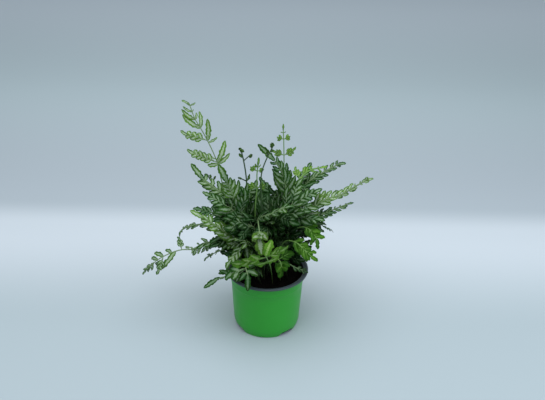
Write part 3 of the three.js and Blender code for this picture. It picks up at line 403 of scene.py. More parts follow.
class Foliage:
    """Leaves and stalks of one frond: points, quads, slots and the values that their patterns read."""

    def __init__(self, seed, tint):
        self.points, self.pattern, self.quads, self.slots = [], [], [], []
        self.count = 0
        self.rng = np.random.default_rng(seed)
        self.tint = tint

    def add(self, points, pattern, quads, slot):
        self.points.append(points)
        self.pattern.append(pattern)
        self.quads.append(quads + self.count)
        self.slots.append(np.full(len(quads), slot))
        self.count += len(points)

    def sheet(self, grid, normals, across, along, tint):
        """A closed thin sheet over a grid of points."""
        rows, columns = grid.shape[:2]
        offset = normals * LEAF_HALF
        flat = rows * columns
        points = np.concatenate(((grid + offset).reshape(-1, 3), (grid - offset).reshape(-1, 3)))
        shared = [np.broadcast_to(item, (rows, columns)).ravel() for item in (np.abs(across), along, tint)]
        pattern = np.concatenate([np.column_stack(shared + [np.full(flat, beneath)]) for beneath in (0, 1)])
        at = np.arange(flat).reshape(rows, columns)
        top = np.stack((at[:-1, :-1], at[:-1, 1:], at[1:, 1:], at[1:, :-1]), axis=-1).reshape(-1, 4)
        border = np.concatenate((at[0, ::-1], at[1:, 0], at[-1, 1:], at[-2:0:-1, -1]))
        after = np.roll(border, -1)
        wall = np.column_stack((border, after, after + flat, border + flat))
        self.add(points, pattern, np.concatenate((top, top[:, ::-1] + flat, wall[:, ::-1])), LEAF_SLOT)

    def leaflet(self, root, ahead, up, long, wide, foot, bow, cup, blunt=2.2, swing=0.0):
        """One wavy-edged, cupped leaflet along a bowed midrib."""
        draws = self.rng.uniform(-1, 1, 10)
        teeth = 1.2 + long / 8
        rows = int(round(6 + 2.6 * teeth))
        along = np.linspace(0, 1, rows)[:, None]
        across = (WIDE_ACROSS if wide > 4.5 else SLIM_ACROSS)[None, :]
        side = cross(ahead, up)
        bow = bow + 0.14 * draws[0]
        swing = swing + 0.12 * draws[1]
        turn = bow * along
        reach, drop = np.sin(turn) / bow, (1 - np.cos(turn)) / bow
        middle = root + long * (reach * ahead - drop * up + swing * along**2 * 0.5 * side)
        normal = np.cos(turn) * up + np.sin(turn) * ahead
        core = (along + 0.004) ** 0.5 * (1 - along**blunt + 0.004) ** 0.6
        core = core / core.max()
        body = foot * (1 - along) ** 2 + (1 - foot * (1 - along) ** 2) * core
        fade = np.clip(along * 6, 0, 1) * np.clip((1 - along) * 5, 0, 1)
        phase = np.where(across > 0, draws[2], draws[3])
        second = np.where(across > 0, draws[8], draws[9])
        waves = np.sin(math.tau * (teeth * along + phase))
        waves = fade * (waves + 0.8 * np.sin(math.tau * (0.55 * teeth * along + second)))
        half = wide * 0.5 * body * (1 + EDGE_WAVE * waves) + 0.06
        ripple = 0.1 * wide * np.sin(math.tau * (1.3 * along + draws[4] + 0.3 * np.sign(across)))
        rise = cup * (1 + 0.4 * draws[5]) * half * np.abs(across) ** 1.4 + ripple * across**2 * fade
        twist = (0.25 * draws[6] * along)[..., None]
        normals = normal[:, None, :]
        outwards = np.cos(twist) * side + np.sin(twist) * normals
        grid = middle[:, None, :] + (across * half)[..., None] * outwards + rise[..., None] * normals
        tint = np.clip(self.tint + 0.15 * draws[7], 0, 1)
        self.sheet(grid, normals, across, along, tint)
        return grid[[rows // 3, rows // 2, -3, -1]][:, [0, across.size // 2, -1]].reshape(-1, 3)

    def wing(self, points, lefts, ups, halves):
        """The narrow green band on both sides of a rib."""
        grid = points[:, None, :] - SLIM_ACROSS[None, :, None] * (halves[:, None] * lefts)[:, None, :]
        self.sheet(grid, ups[:, None, :], WING_EDGE * SLIM_ACROSS[None, :], WING_ALONG, self.tint)

    def tube(self, points, lefts, ups, radii, sides, pale=0.0):
        """A closed stalk round a line of points, and pale is how far along its colours begin."""
        angles = (math.tau * np.arange(sides) / sides)[None, :, None]
        ring = np.cos(angles) * lefts[:, None, :] + np.sin(angles) * ups[:, None, :]
        body = points[:, None, :] + radii[:, None, None] * ring
        rows = len(points)
        at = np.arange(rows * sides).reshape(rows, sides)
        after = np.roll(at, -1, axis=1)
        quads = [np.stack((at[:-1], after[:-1], after[1:], at[1:]), axis=-1).reshape(-1, 4)]
        for k in range(1, sides - 1, 2):
            last = min(k + 2, sides - 1)
            quads += [at[:1, [0, last, k + 1, k]], at[-1:, [0, k, k + 1, last]]]
        share = np.repeat(np.linspace(pale, 1, rows), sides)
        nothing = np.zeros(rows * sides)
        pattern = np.column_stack((nothing, share, nothing + self.tint, nothing))
        self.add(body.reshape(-1, 3), pattern, np.concatenate(quads)[:, ::-1], STALK_SLOT)

    def make(self, name, materials):
        return make_mesh(
            name, np.concatenate(self.points), np.concatenate(self.quads), materials,
            np.concatenate(self.slots), np.concatenate(self.pattern),
        )


def make_mesh(name, points, faces, materials, slots=None, pattern=None):
    mesh = bpy.data.meshes.new(name)
    mesh.from_pydata((np.asarray(points) * MM).tolist(), [], [list(face) for face in faces])
    for material in materials:
        mesh.materials.append(material)
    if slots is not None:
        mesh.polygons.foreach_set("material_index", np.asarray(slots, np.int32))
    if pattern is not None:
        attribute = mesh.attributes.new("leaf", "FLOAT_COLOR", "POINT")
        attribute.data.foreach_set("color", np.asarray(pattern, np.float32).ravel())
    mesh.validate()
    mesh.update()
    piece = bpy.data.objects.new(name, mesh)
    bpy.context.scene.collection.objects.link(piece)
    return piece


def settle(piece, node, slot, angle):
    """Smooths a piece up to an angle and puts it in the place of its node."""
    piece.data.shade_smooth()
    piece.data.set_sharp_from_angle(angle=math.radians(angle))
    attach(piece, "root")
    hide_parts(node)


# Materials

# The dense middle of the plant, in metres, and the colour of the painted shade that darkens leaves near it
PAINTED_SHADE_MIDDLE = (0.005, 0.01, 0.135)
INNER_SHADE = (0.0005, 0.008, 0.001)

# The floor's tone in front, and those that take over between two depths, in metres: painted light and shade
# standing in for a curved backdrop, with a bright band at its bend, a darker band for its dimmer wall, and
# lighter tones far off
FLOOR_FRONT = (0.385, 0.465, 0.51)
FLOOR_TONES = (
    (-0.02, 0.24, (0.55, 0.62, 0.685)),
    (0.285, 0.38, (0.4, 0.467, 0.523)),
    (0.45, 1.1, (0.47, 0.575, 0.625)),
    (1.1, 2.3, (0.65, 0.75, 0.83)),
)


class Nodes:
    """A new material, with short calls for its nodes."""

    def __init__(self, name):
        self.material = bpy.data.materials.new(name)
        self.material.use_nodes = True
        self.tree = self.material.node_tree

    def fill(self, node, inputs):
        """Sets a node's inputs or joins them to other nodes."""
        for key, value in inputs.items():
            if isinstance(value, bpy.types.NodeSocket):
                self.tree.links.new(value, node.inputs[key])
            else:
                node.inputs[key].default_value = value

    def node(self, kind, inputs, **settings):
        """The outputs of a new node."""
        node = self.tree.nodes.new("ShaderNode" + kind)
        for key, value in settings.items():
            setattr(node, key, value)
        self.fill(node, inputs)
        return node.outputs

    def math(self, operation, *values, clamp=False):
        return self.node("Math", dict(enumerate(values)), operation=operation, use_clamp=clamp)[0]

    def steps(self, value, low, high, to_low=0.0, to_high=1.0):
        """A smooth step from to_low to to_high while value goes from low to high."""
        inputs = dict(enumerate((value, low, high, to_low, to_high)))
        return self.node("MapRange", inputs, interpolation_type="SMOOTHSTEP")[0]

    def mix(self, share, *colours):
        first, second = ((*colour, 1) if isinstance(colour, tuple) else colour for colour in colours)
        return self.node("Mix", {"Factor": share, 6: first, 7: second}, data_type="RGBA")[2]

    def noise(self, scale, detail, roughness=0.5):
        inputs = {"Vector": self.place(), "Scale": scale, "Detail": detail, "Roughness": roughness}
        return self.node("TexNoise", inputs)["Fac"]

    def place(self):
        return self.node("TexCoord", {})["Object"]

    def split(self, vector):
        return self.node("SeparateXYZ", {0: vector})

    def distance(self, place):
        return self.node("VectorMath", {0: self.place(), 1: place}, operation="DISTANCE")["Value"]

    def leaf(self):
        """How far across and along a leaf a point is, the leaf's tint, and 1 on its underside."""
        outputs = self.node("Attribute", {}, attribute_name="leaf")
        return (*self.split(outputs["Vector"]), outputs["Alpha"])

    def finish(self, colour, roughness, specular, relief=None, strength=0.0, depth=0.0):
        """The material, with its looks joined to the shader; depth is in metres."""
        inputs = {"Base Color": colour, "Roughness": roughness, "Specular IOR Level": specular}
        if relief is not None:
            bump = {"Strength": strength, "Distance": depth, "Height": relief}
            inputs["Normal"] = self.node("Bump", bump)[0]
        self.fill(self.tree.nodes["Principled BSDF"], inputs)
        return self.material


def leaf_material(name, edges, bands, band_width, under, inner):
    """Green leaflets with a feathered pale band down the middle, with painted shade darkening them towards
    the plant's middle.

    edges and bands give the colours of a dark and of a light leaflet, partly their own tones and partly
    painted shade and painted light.
    """
    n = Nodes(name)
    across, along, tint, beneath = n.leaf()
    height = n.split(n.place())[2]
    # painted light: leaves are lighter the higher they stand, as if lit from above, on top of the tint; the
    # noise below is random tone
    light = n.math("ADD", tint, n.steps(height, 0.15, 0.27, -0.06, 0.22))
    light = n.math("ADD", light, n.steps(n.noise(70, 2), 0.3, 0.7, -0.2, 0.2), clamp=True)
    # side veins, which lean forward from the midrib
    slant = n.math("ADD", n.math("MULTIPLY", along, 46.0), n.math("MULTIPLY", across, -9.0))
    veins = n.math("SINE", slant)
    grain = n.noise(700, 3)
    specks = n.math("MULTIPLY", n.math("SUBTRACT", grain, 0.5), 0.35)
    feather = n.math("ADD", n.math("MULTIPLY", veins, 0.06), specks)
    narrowing = n.math("SUBTRACT", 1.0, n.math("POWER", along, 3.0))
    reach = n.math("ADD", n.math("MULTIPLY", narrowing, band_width), feather)
    mask = n.steps(n.math("SUBTRACT", reach, across), -0.07, 0.12)
    edge = n.mix(n.math("POWER", light, 1.6), *edges)
    band = n.mix(n.math("POWER", light, 0.8), *bands)
    colour = n.mix(mask, edge, n.mix(n.math("MULTIPLY", grain, 0.2), band, edge))
    colour = n.mix(n.math("MULTIPLY", beneath, 0.55), colour, under)
    # painted shade: leaves darken towards the plant's dense middle, less so by the share inner
    depth = n.math("MULTIPLY", n.steps(n.distance(PAINTED_SHADE_MIDDLE), 0.11, 0.04), 1 - inner)
    colour = n.mix(depth, colour, INNER_SHADE)
    midrib = n.math("MULTIPLY", n.steps(across, 0.0, 0.12), 1.4)
    relief = n.math("ADD", n.math("MULTIPLY", veins, 0.5), midrib)
    return n.finish(colour, n.steps(grain, 0.2, 0.8, 0.42, 0.58), 0.09, relief, strength=0.5, depth=0.00025)


def stalk_material(name, low, high, root):
    n = Nodes(name)
    streaks = n.noise(900, 2)
    colour = n.mix(n.steps(n.leaf()[1], 0.1, 0.9), low, high)
    colour = n.mix(n.steps(n.split(n.place())[2], 0.11, 0.08), colour, root)
    colour = n.mix(n.math("MULTIPLY", streaks, 0.4), colour, low)
    return n.finish(colour, 0.45, 0.5, streaks, strength=0.3, depth=0.0002)


def plastic_material(name, colour, lighter, roughness):
    n = Nodes(name)
    colour = n.mix(n.steps(n.noise(14, 2), 0.35, 0.7), colour, lighter)
    roughness = n.steps(n.noise(60, 3), 0.3, 0.7, roughness - 0.04, roughness + 0.05)
    return n.finish(colour, roughness, 0.3, n.noise(1500, 2), strength=0.12, depth=0.00005)


def soil_material():
    n = Nodes("peat")
    crumbs = n.noise(420, 5, roughness=0.7)
    colour = n.mix(n.steps(crumbs, 0.35, 0.75), (0.0012, 0.001, 0.0008), (0.006, 0.0045, 0.0035))
    return n.finish(colour, 0.9, 0.05, crumbs, strength=0.9, depth=0.0012)


def stage_material():
    """A pale floor with painted light and shade, brightest a little way behind the plant."""
    n = Nodes("pale_floor")
    depth = n.split(n.place())[1]
    colour = FLOOR_FRONT
    for start, stop, tone in FLOOR_TONES:
        colour = n.mix(n.steps(depth, start, stop), colour, tone)
    return n.finish(colour, 0.6, 0.1)


POT_GREEN = plastic_material("pot_green", (0.026, 0.325, 0.028), (0.029, 0.34, 0.032), 0.36)
POT_GREY = plastic_material("pot_grey", (0.04, 0.06, 0.07), (0.055, 0.078, 0.09), 0.4)
# painted shade: the pot's inner wall is painted near black, as if in shadow
POT_PAINTED_SHADE = plastic_material("pot_painted_shade", (0.006, 0.007, 0.007), (0.012, 0.014, 0.015), 0.6)
PEAT = soil_material()
LEAF = leaf_material(
    "striped_leaf", ((0.01, 0.058, 0.005), (0.085, 0.19, 0.022)), ((0.1, 0.2, 0.095), (0.35, 0.46, 0.32)),
    band_width=0.46, under=(0.1, 0.19, 0.07), inner=0.35,
)
YOUNG = leaf_material(
    "young_leaf", ((0.035, 0.13, 0.006), (0.105, 0.24, 0.02)), ((0.12, 0.25, 0.05), (0.29, 0.42, 0.15)),
    band_width=0.34, under=(0.1, 0.24, 0.04), inner=1,
)
FRESH_LEAF = leaf_material(
    "fresh_leaf", ((0.02, 0.09, 0.004), (0.075, 0.22, 0.009)), ((0.05, 0.15, 0.012), (0.13, 0.29, 0.035)),
    band_width=0.34, under=(0.06, 0.17, 0.02), inner=0.7,
)
BUD = leaf_material(
    "crozier_leaf", ((0.03, 0.075, 0.015), (0.05, 0.12, 0.018)), ((0.06, 0.12, 0.03), (0.09, 0.17, 0.05)),
    band_width=0.3, under=(0.06, 0.12, 0.03), inner=1,
)
STALK = stalk_material("leaf_stalk", (0.015, 0.05, 0.012), (0.17, 0.27, 0.11), (0.012, 0.009, 0.005))
YOUNG_STALK = stalk_material("young_stalk", (0.02, 0.06, 0.01), (0.16, 0.32, 0.07), (0.02, 0.014, 0.008))
DARK_STALK = stalk_material("crozier_stalk", (0.012, 0.04, 0.01), (0.035, 0.08, 0.025), (0.02, 0.014, 0.008))
LOOKS = {
    "leaf": ([LEAF, STALK], "striped_leaf"),
    "young": ([YOUNG, YOUNG_STALK], "young_leaf"),
    "fresh": ([FRESH_LEAF, YOUNG_STALK], "young_leaf"),
    "crozier": ([BUD, DARK_STALK], "crozier_green"),
}


# The pot and its soil

def circle(radius, sides, shift=0.0):
    """Points round the middle, turned by a share of the step between them."""
    angles = [math.tau * (k + shift) / sides for k in range(sides)]
    return [(radius * math.cos(angle), radius * math.sin(angle)) for angle in angles]


def lathe(outline):
    """A closed body turned round the Z axis; the outline starts and ends on the axis."""
    points = [(0, 0, outline[0][1]), (0, 0, outline[-1][1])]
    for radius, height in outline[1:-1]:
        points += [(x, y, height) for x, y in circle(radius, POT_SIDES)]
    last = len(outline) - 3
    faces = []

    def at(row, k):
        return 2 + row * POT_SIDES + k % POT_SIDES

    for k in range(POT_SIDES):
        faces.append((0, at(0, k + 1), at(0, k)))
        for row in range(last):
            faces.append((at(row, k), at(row, k + 1), at(row + 1, k + 1), at(row + 1, k)))
        faces.append((1, at(last, k), at(last, k + 1)))
    return points, faces


def arc(centre, radius, start, end, steps):
    angles = [math.radians(start + (end - start) * k / steps) for k in range(steps + 1)]
    return [(centre[0] + radius * math.cos(a), centre[1] + radius * math.sin(a)) for a in angles]


def foot_cut(wide, narrow, height, turn):
    """Corners and faces of a trapezium cutter pushed in from outside."""
    a = math.radians(turn)
    points = []
    low, high = wide / 2 + 0.8, narrow / 2
    for reach in (CUT_DEPTH, CUT_DEPTH + CUTTER_LONG):
        for across, z in ((-low, -1), (low, -1), (high, height), (-high, height)):
            x = reach * math.cos(a) - across * math.sin(a)
            y = reach * math.sin(a) + across * math.cos(a)
            points.append((x, y, z))
    faces = [(3, 2, 1, 0), (4, 5, 6, 7)] + [(k, (k + 1) % 4, (k + 1) % 4 + 4, k + 4) for k in range(4)]
    return points, faces


def make_pot():
    top, rim_low = POT_HEIGHT, POT_HEIGHT - RIM_DEPTH
    outline = [(0, 0), (FOOT_RADIUS - FOOT_ROUND, 0)]
    outline += arc((FOOT_RADIUS - FOOT_ROUND, FOOT_ROUND), FOOT_ROUND, -70, -10, 3)
    outline += [(CHAMFER_RADIUS - 0.25, CHAMFER_HEIGHT - 0.7), (CHAMFER_RADIUS + 0.05, CHAMFER_HEIGHT + 0.6)]
    rise = LEDGE_HEIGHT - LEDGE_STEP - CHAMFER_HEIGHT
    for k in range(1, WALL_STEPS):
        share = k / WALL_STEPS
        bulge = WALL_BULGE * math.sin(math.pi * share)
        radius = CHAMFER_RADIUS + (SHOULDER_RADIUS - LEDGE_STEP * 0.5 - CHAMFER_RADIUS) * share + bulge
        outline.append((radius, CHAMFER_HEIGHT + rise * share))
    outline += [
        (SHOULDER_RADIUS - LEDGE_STEP * 0.5, LEDGE_HEIGHT - LEDGE_STEP - 0.2),
        (SHOULDER_RADIUS - 0.1, LEDGE_HEIGHT - LEDGE_STEP * 0.6),
        (SHOULDER_RADIUS + LEDGE_STEP * 0.5, LEDGE_HEIGHT),
        (NECK_RADIUS - 0.3, rim_low - 1.6),
        (NECK_RADIUS + 0.5, rim_low - 0.2),
        (NECK_RADIUS + 1.2, rim_low),
        (RIM_RADIUS - LIP_ROUND, rim_low),
    ]
    outline += arc((RIM_RADIUS - LIP_ROUND, rim_low + LIP_ROUND), LIP_ROUND, -60, 0, 2)
    outline += arc((RIM_RADIUS - TOP_ROUND, top - TOP_ROUND), TOP_ROUND, 0, 90, 5)
    outline += [(RIM_INNER_RADIUS + LIP_ROUND, top)]
    outline += arc((RIM_INNER_RADIUS + LIP_ROUND, top - LIP_ROUND), LIP_ROUND, 110, 170, 3)
    outline += [
        (NECK_RADIUS - WALL, rim_low + 0.6),
        (CHAMFER_RADIUS - WALL, CHAMFER_HEIGHT + 0.3),
        (FOOT_RADIUS - WALL + 0.3, WALL),
        (0, WALL),
    ]
    points, faces = lathe(outline)
    pot = make_mesh("fern_pot", points, faces, [POT_GREEN, POT_GREY, POT_PAINTED_SHADE])
    corners, sides = [], []
    cuts = [foot_cut(CUT_WIDE, CUT_NARROW, CUT_HEIGHT, turn) for turn in CUT_TURNS]
    cuts += [foot_cut(SLOT_WIDTH, SLOT_WIDTH * 0.6, SLOT_HEIGHT, turn) for turn in SLOT_TURNS]
    for cut in cuts:
        sides += [[i + len(corners) for i in face] for face in cut[1]]
        corners += cut[0]
    cutter = make_mesh("foot_cutter", corners, sides, [])
    modifier = pot.modifiers.new("cuts", "BOOLEAN")
    modifier.object = cutter
    modifier.operation = "DIFFERENCE"
    modifier.solver = "EXACT"
    bpy.context.view_layer.update()
    cut_mesh = bpy.data.meshes.new_from_object(pot.evaluated_get(bpy.context.evaluated_depsgraph_get()))
    pot.modifiers.clear()
    pot.data = cut_mesh
    bpy.data.objects.remove(cutter)
    for face in cut_mesh.polygons:
        x, y, z = face.center / MM
        radius = math.hypot(x, y)
        wall_radius = FOOT_RADIUS + (NECK_RADIUS - FOOT_RADIUS) * z / top - WALL * 0.5
        outward = face.normal.x * x + face.normal.y * y > 0.2 * radius
        outside = outward and radius > wall_radius - 1.2 and 0.02 < z < rim_low - 0.3
        # inside faces below the rim get the painted shade
        shaded_inside = not outward and WALL < z < top - 2.5
        face.material_index = 0 if outside else 2 if shaded_inside else 1
    settle(pot, "pot", "pot_green", 35)


def make_soil():
    def inner_radius(z):
        share = (z - CHAMFER_HEIGHT) / (POT_HEIGHT - RIM_DEPTH - CHAMFER_HEIGHT)
        return between(CHAMFER_RADIUS, NECK_RADIUS, share) - WALL - SEAT_GAP - SOIL_INSET

    rim, bend, bottom = inner_radius(SOIL_LEVEL), CHAMFER_HEIGHT + 1, WALL + SEAT_GAP + 0.2
    points = [(0, 0, soil_height(0, 0))]
    for ring in range(1, SOIL_RINGS + 1):
        radius = rim * ring / SOIL_RINGS
        calm = min(1, (rim - radius) / 3 + 0.2)
        for x, y in circle(radius, SOIL_SIDES, 0.5 * (ring % 2)):
            rough = noise.fractal(Vector((x, y, 3)) * CRUMB_SCALE, 0.6, 2.1, 4) * CRUMB_HEIGHT * calm
            points.append((x, y, soil_height(x, y) + rough))
    for radius, z in ((inner_radius(bend), bend), (FOOT_RADIUS - WALL - SEAT_GAP - 0.4, bottom)):
        points += [(x, y, z) for x, y in circle(radius, SOIL_SIDES)]
    points.append((0, 0, bottom))
    faces = []
    for ring in range(SOIL_RINGS + 2):
        for k in range(SOIL_SIDES):
            a, b = (1 + ring * SOIL_SIDES + i % SOIL_SIDES for i in (k, k + 1))
            faces.append((a - SOIL_SIDES, a, b, b - SOIL_SIDES) if ring else (0, a, b))
            if ring == SOIL_RINGS + 1:
                faces.append((len(points) - 1, b, a))
    settle(make_mesh("fern_soil", points, faces, [PEAT]), "soil", "peat_soil", 60)


# Stalks

class Curve:
    """A stalk's centre line from Hermite pieces between knots and their directions, as in the solids."""

    def __init__(self, knots, directions, tip, face):
        points, reached = [knots[0]], [0]
        for i in range(len(knots) - 1):
            chord = size_of(knots[i + 1] - knots[i])
            steps = max(4, math.floor(chord / 2 + 0.5))
            for step in range(1, steps + 1):
                t = step / steps
                s = 1 - t
                points.append(
                    knots[i] * s * s * (1 + 2 * t) + directions[i] * chord * t * s * s
                    + knots[i + 1] * t * t * (1 + 2 * s) - directions[i + 1] * chord * t * t * s
                )
            reached.append(len(points) - 1)
        self.points = np.array(points)
        gaps = np.linalg.norm(np.diff(self.points, axis=0), axis=1)
        self.along = np.concatenate(([0], np.cumsum(gaps)))
        self.reached = self.along[reached]
        self.length = self.along[-1]
        self.face = face
        self.side = cross(UP, unit(vec(tip[0] - knots[0][0], tip[1] - knots[0][1], 0)))

    def place(self, distance):
        i = min(max(int(np.searchsorted(self.along, distance, "left")), 1), len(self.points) - 1)
        a, b = self.points[i - 1], self.points[i]
        share = (distance - self.along[i - 1]) / (self.along[i] - self.along[i - 1])
        return facing(between(a, b, share), unit(b - a), self.side, self.face)

    def distance_at(self, at):
        """How far along the stalk a place is that is counted in points of its path."""
        i = min(math.floor(at), len(self.reached) - 3)
        return between(self.reached[i + 1], self.reached[i + 2], at - i)

    def line(self, steps):
        marks = self.length * np.arange(steps + 1) / steps
        return np.column_stack([np.interp(marks, self.along, self.points[:, k]) for k in range(3)])

    def ribbon(self, marks):
        """The points at some distances, with the ways to the left and up there."""
        places = [self.place(mark) for mark in marks]
        return [np.array([place[key] for place in places]) for key in ("point", "left", "up")]


def facing(point, forward, side, face):
    wanted = cross(forward, side) * (1 - face) + FRONT * face
    up = unit(wanted - forward * (wanted @ forward))
    return dict(point=point, forward=forward, up=up, left=cross(up, forward))


def root_of(turn, radius, shift):
    angle, reach = turn + math.radians(shift[0]), radius + shift[1]
    x, y = math.cos(angle) * reach, math.sin(angle) * reach
    return vec(x, y, soil_height(x, y))


def drawn_curve(frond, shift):
    base = root_of(math.atan2(frond["root"][1], frond["root"][0]), math.hypot(*frond["root"]), shift)
    last = len(frond["path"]) - 2
    inner = [vec(x, y + (shift[2] if i < last else 0), z) for i, (x, y, z) in enumerate(frond["path"])]
    rise = unit(unit(inner[0] - base) + UP * 0.5)
    knots = [base - rise * ROOT_DEPTH, base] + inner
    directions = [rise, rise]
    for i in range(2, len(knots)):
        before = knots[i] - knots[i - 1]
        if i == len(knots) - 1:
            directions.append(unit(before))
        else:
            after = knots[i + 1] - knots[i]
            directions.append(unit(unit(before) * size_of(after) + unit(after) * size_of(before)))
    return Curve(knots, directions, frond.get("tip", frond["path"][-1]), frond["face"])


def grown_curve(frond, shift):
    crown = (BLADE["stem"] + CROWN_PAIRS * BLADE["pitch"] + BLADE["end"]) * frond["size"]
    turn = math.radians(frond["turn"])
    tip = vec(math.cos(turn) * frond["reach"], math.sin(turn) * frond["reach"], frond["height"])
    base = root_of(turn, frond["root"], shift)
    out = unit(vec(tip[0] - base[0], tip[1] - base[1], 0))
    lean, dip = math.radians(frond["lean"]), math.radians(frond["dip"])
    rise, aim = turned(UP, out, lean), turned(out, -UP, dip)
    knots = [base - rise * ROOT_DEPTH, tip - aim * crown]
    return Curve(knots, [rise * 1.35, aim * 0.9], tip, frond["face"])


def grown_blades(frond, curve, owner):
    """The blades of a frond that is grown by rule, as in the solids."""
    first, last = curve.length * BARE_SHARE, curve.length - BLADE["pitch"] * frond["size"]
    scaled = PLAIN | {key: value * frond["size"] for key, value in BLADE.items()}
    crown = dict(scaled, pairs=CROWN_PAIRS, long=CROWN_LONG * frond["size"], taper=0.4)
    blades = [dict(distance=curve.length, side=0, plan=crown)]
    for j, pairs in enumerate(LOBED):
        distance = first + (last - first) * j / (len(LOBED) - 0.35)
        for side in (1, -1):
            seed = owner * SEED_STEP + len(blades)
            plan = dict(
                scaled, pairs=pairs, sag=BLADE_SAG, lift=BLADE_LIFT + 7 * draw(seed, 1),
                angle=BLADE_ANGLE + 6 * draw(seed, 2),
            )
            plan["end"] *= (0.85 if pairs > 0 else 1) * (1 + 0.12 * draw(seed, 3))
            blades.append(dict(distance=distance, side=side, plan=plan))
    return blades


def drawn_blades(frond, curve, owner):
    """The blades of a drawn frond: its end, the chosen pinnae, then the combs, as in the solids."""
    rows = [(curve.distance_at(row[0]),) + row[1:] for row in frond["pinnae"]]
    for start, stop, pairs, left, right, widths in frond["combs"]:
        for j in range(pairs):
            share = j / (pairs - 1)
            distance = between(curve.distance_at(start), curve.distance_at(stop), share)
            for side, (angle, long, last) in ((1, left), (-1, right)):
                seed = owner * SEED_STEP + len(rows)
                long = between(long, last, share) * (1 + 0.12 * draw(seed, 2))
                rows.append((distance, side * (angle + 5 * draw(seed, 1)), long, between(*widths, share)))
    if "tip" in frond:
        tip = vec(*frond["tip"])
        crown = dict(PLAIN, end=size_of(tip - curve.points[-1]), end_wide=frond["wide"])
    else:
        tip, crown = None, dict(PLAIN, stem=1.5, curl=frond["coil"])
    blades = [dict(distance=curve.length, side=0, plan=crown, tip=tip)]
    for distance, angle, long, wide, *lobes in rows:
        plan = dict(PLAIN, angle=abs(angle), sag=0.15, wide=wide, end_wide=wide, end=long)
        plan["lift"] = 5 * draw(owner * SEED_STEP + len(blades), 3)
        if lobes == ["coil"]:
            plan.update(stem=long, curl=wide / 2, end=0)
        elif lobes:
            plan.update(pairs=lobes[0], stem=long * 0.12, end=min(wide * 1.9, long * 0.45), long=wide * 1.5)
            plan["pitch"] = (long - plan["stem"] - plan["end"]) / plan["pairs"]
        blades.append(dict(distance=distance, side=1 if angle > 0 else -1, plan=plan))
    return blades


def settle_blades(frond, curve, blades):
    """Gives each blade its directions and the middle of its base on the stalk."""
    def edge(distance, side):
        place = curve.place(distance)
        half = between(STALK_HALF, STALK_TOP, distance / curve.length) * frond["girth"]
        return place["point"] + place["left"] * side * half

    for blade in blades:
        distance, side = blade["distance"], blade["side"]
        at = curve.place(distance)
        blade["origin"] = at["point"]
        if blade.get("tip") is not None:
            at = facing(at["point"], unit(blade["tip"] - at["point"]), curve.side, curve.face)
        if side:
            blade["origin"] = (edge(distance - PAIR_GAP / 2, side) + edge(distance + PAIR_GAP / 2, side)) / 2
        blade["at"] = at


# How a blade is raised, swept forward and shrunk until it is clear, the least change first, as in the solids
BENDS = sorted(
    (dict(lift=lift, sweep=sweep, size=size) for size in (1, 0.75, 0.5)
     for lift in (0, 14, -14, 28, -28, 42, -42, 56) for sweep in (0, 12, -12, 24)),
    key=lambda bend: abs(bend["lift"]) + abs(bend["sweep"]) + (1 - bend["size"]) * 140,
)


class Rib:
    """A blade's sagging rib: its origin, first directions and sizes."""

    def __init__(self, blade, bend):
        at, side, plan = blade["at"], blade["side"], blade["plan"]
        angle = math.radians(bend["sweep"] if side == 0 else plan["angle"] + bend["sweep"])
        lift = math.radians(plan["lift"] + bend["lift"])
        flat = turned(at["forward"], at["left"] * (side or 1), angle)
        self.forward = turned(flat, at["up"], lift)
        self.up = turned(at["up"], -flat, lift)
        self.origin = blade["origin"]
        self.side = side
        self.plan = plan | {key: plan[key] * bend["size"] for key in SIZES}
        self.length = self.plan["stem"] + self.plan["pairs"] * self.plan["pitch"] + self.plan["end"]
        self.down = -UP * plan["sag"] / max(self.length, 1e-6)

    def place(self, s):
        ahead = unit(self.forward + self.down * s)
        up = unit(self.up - ahead * (self.up @ ahead))
        return self.origin + self.forward * s + self.down * s * s / 2, ahead, up, cross(up, ahead)

    def ribbon(self, marks):
        """The points at some distances, with the ways to the left and up there."""
        columns = [np.array(column) for column in zip(*[self.place(s) for s in marks])]
        return columns[0], columns[3], columns[2]

    def tip(self):
        return self.coil(SOLID_STEPS)[0][-1] if self.plan["curl"] else self.place(self.length)[0]

    def coil(self, steps, finer=1):
        """Points along the coil at the rib's end, with the way in to its middle at each."""
        point, ahead, up, left = self.place(self.plan["stem"])
        points, ins, aheads = [point], [up], [ahead]
        by = math.radians(COIL_TURN / finer)
        for i in range(steps * finer):
            middle = by * (i + 0.5)
            reach = 2 * self.plan["curl"] * (1 - COIL_TIGHTENING * i / finer) * math.sin(by / 2)
            way = turned(ahead, up, middle)
            point = point + way * reach
            points.append(point)
            aheads.append(way)
            ins.append(turned(up, -ahead, middle))
        return np.array(points), np.array(ins), np.array(aheads), left


def find_rib(blade, tree):
    """The bend that the solids gave this blade, found by where its tip lies, or None without one."""
    best, best_gap = None, COIL_NEAR if blade["plan"]["curl"] else TIP_NEAR
    for bend in BENDS:
        rib = Rib(blade, bend)
        gap = tree.find(Vector(rib.tip()))[2]
        if gap < best_gap:
            best, best_gap = rib, gap
    return best


# Room that leaves have taken, in small boxes, and where more are grown

BOX = 2.6
SPAN = 420
FILL_FROM = 0.3
FILL_STEP = 5
CROWD = 1
OPEN_HEIGHT = 104
RIM_CLEAR = 3
FLOOR_CLEAR = 5
taken = np.zeros((int(SPAN / BOX),) * 3, bool)


def boxes(points):
    index = ((np.asarray(points) + (SPAN / 2, SPAN / 2, 10)) / BOX).astype(int)
    return tuple(np.clip(index, 0, len(taken) - 1).T)


# Blades

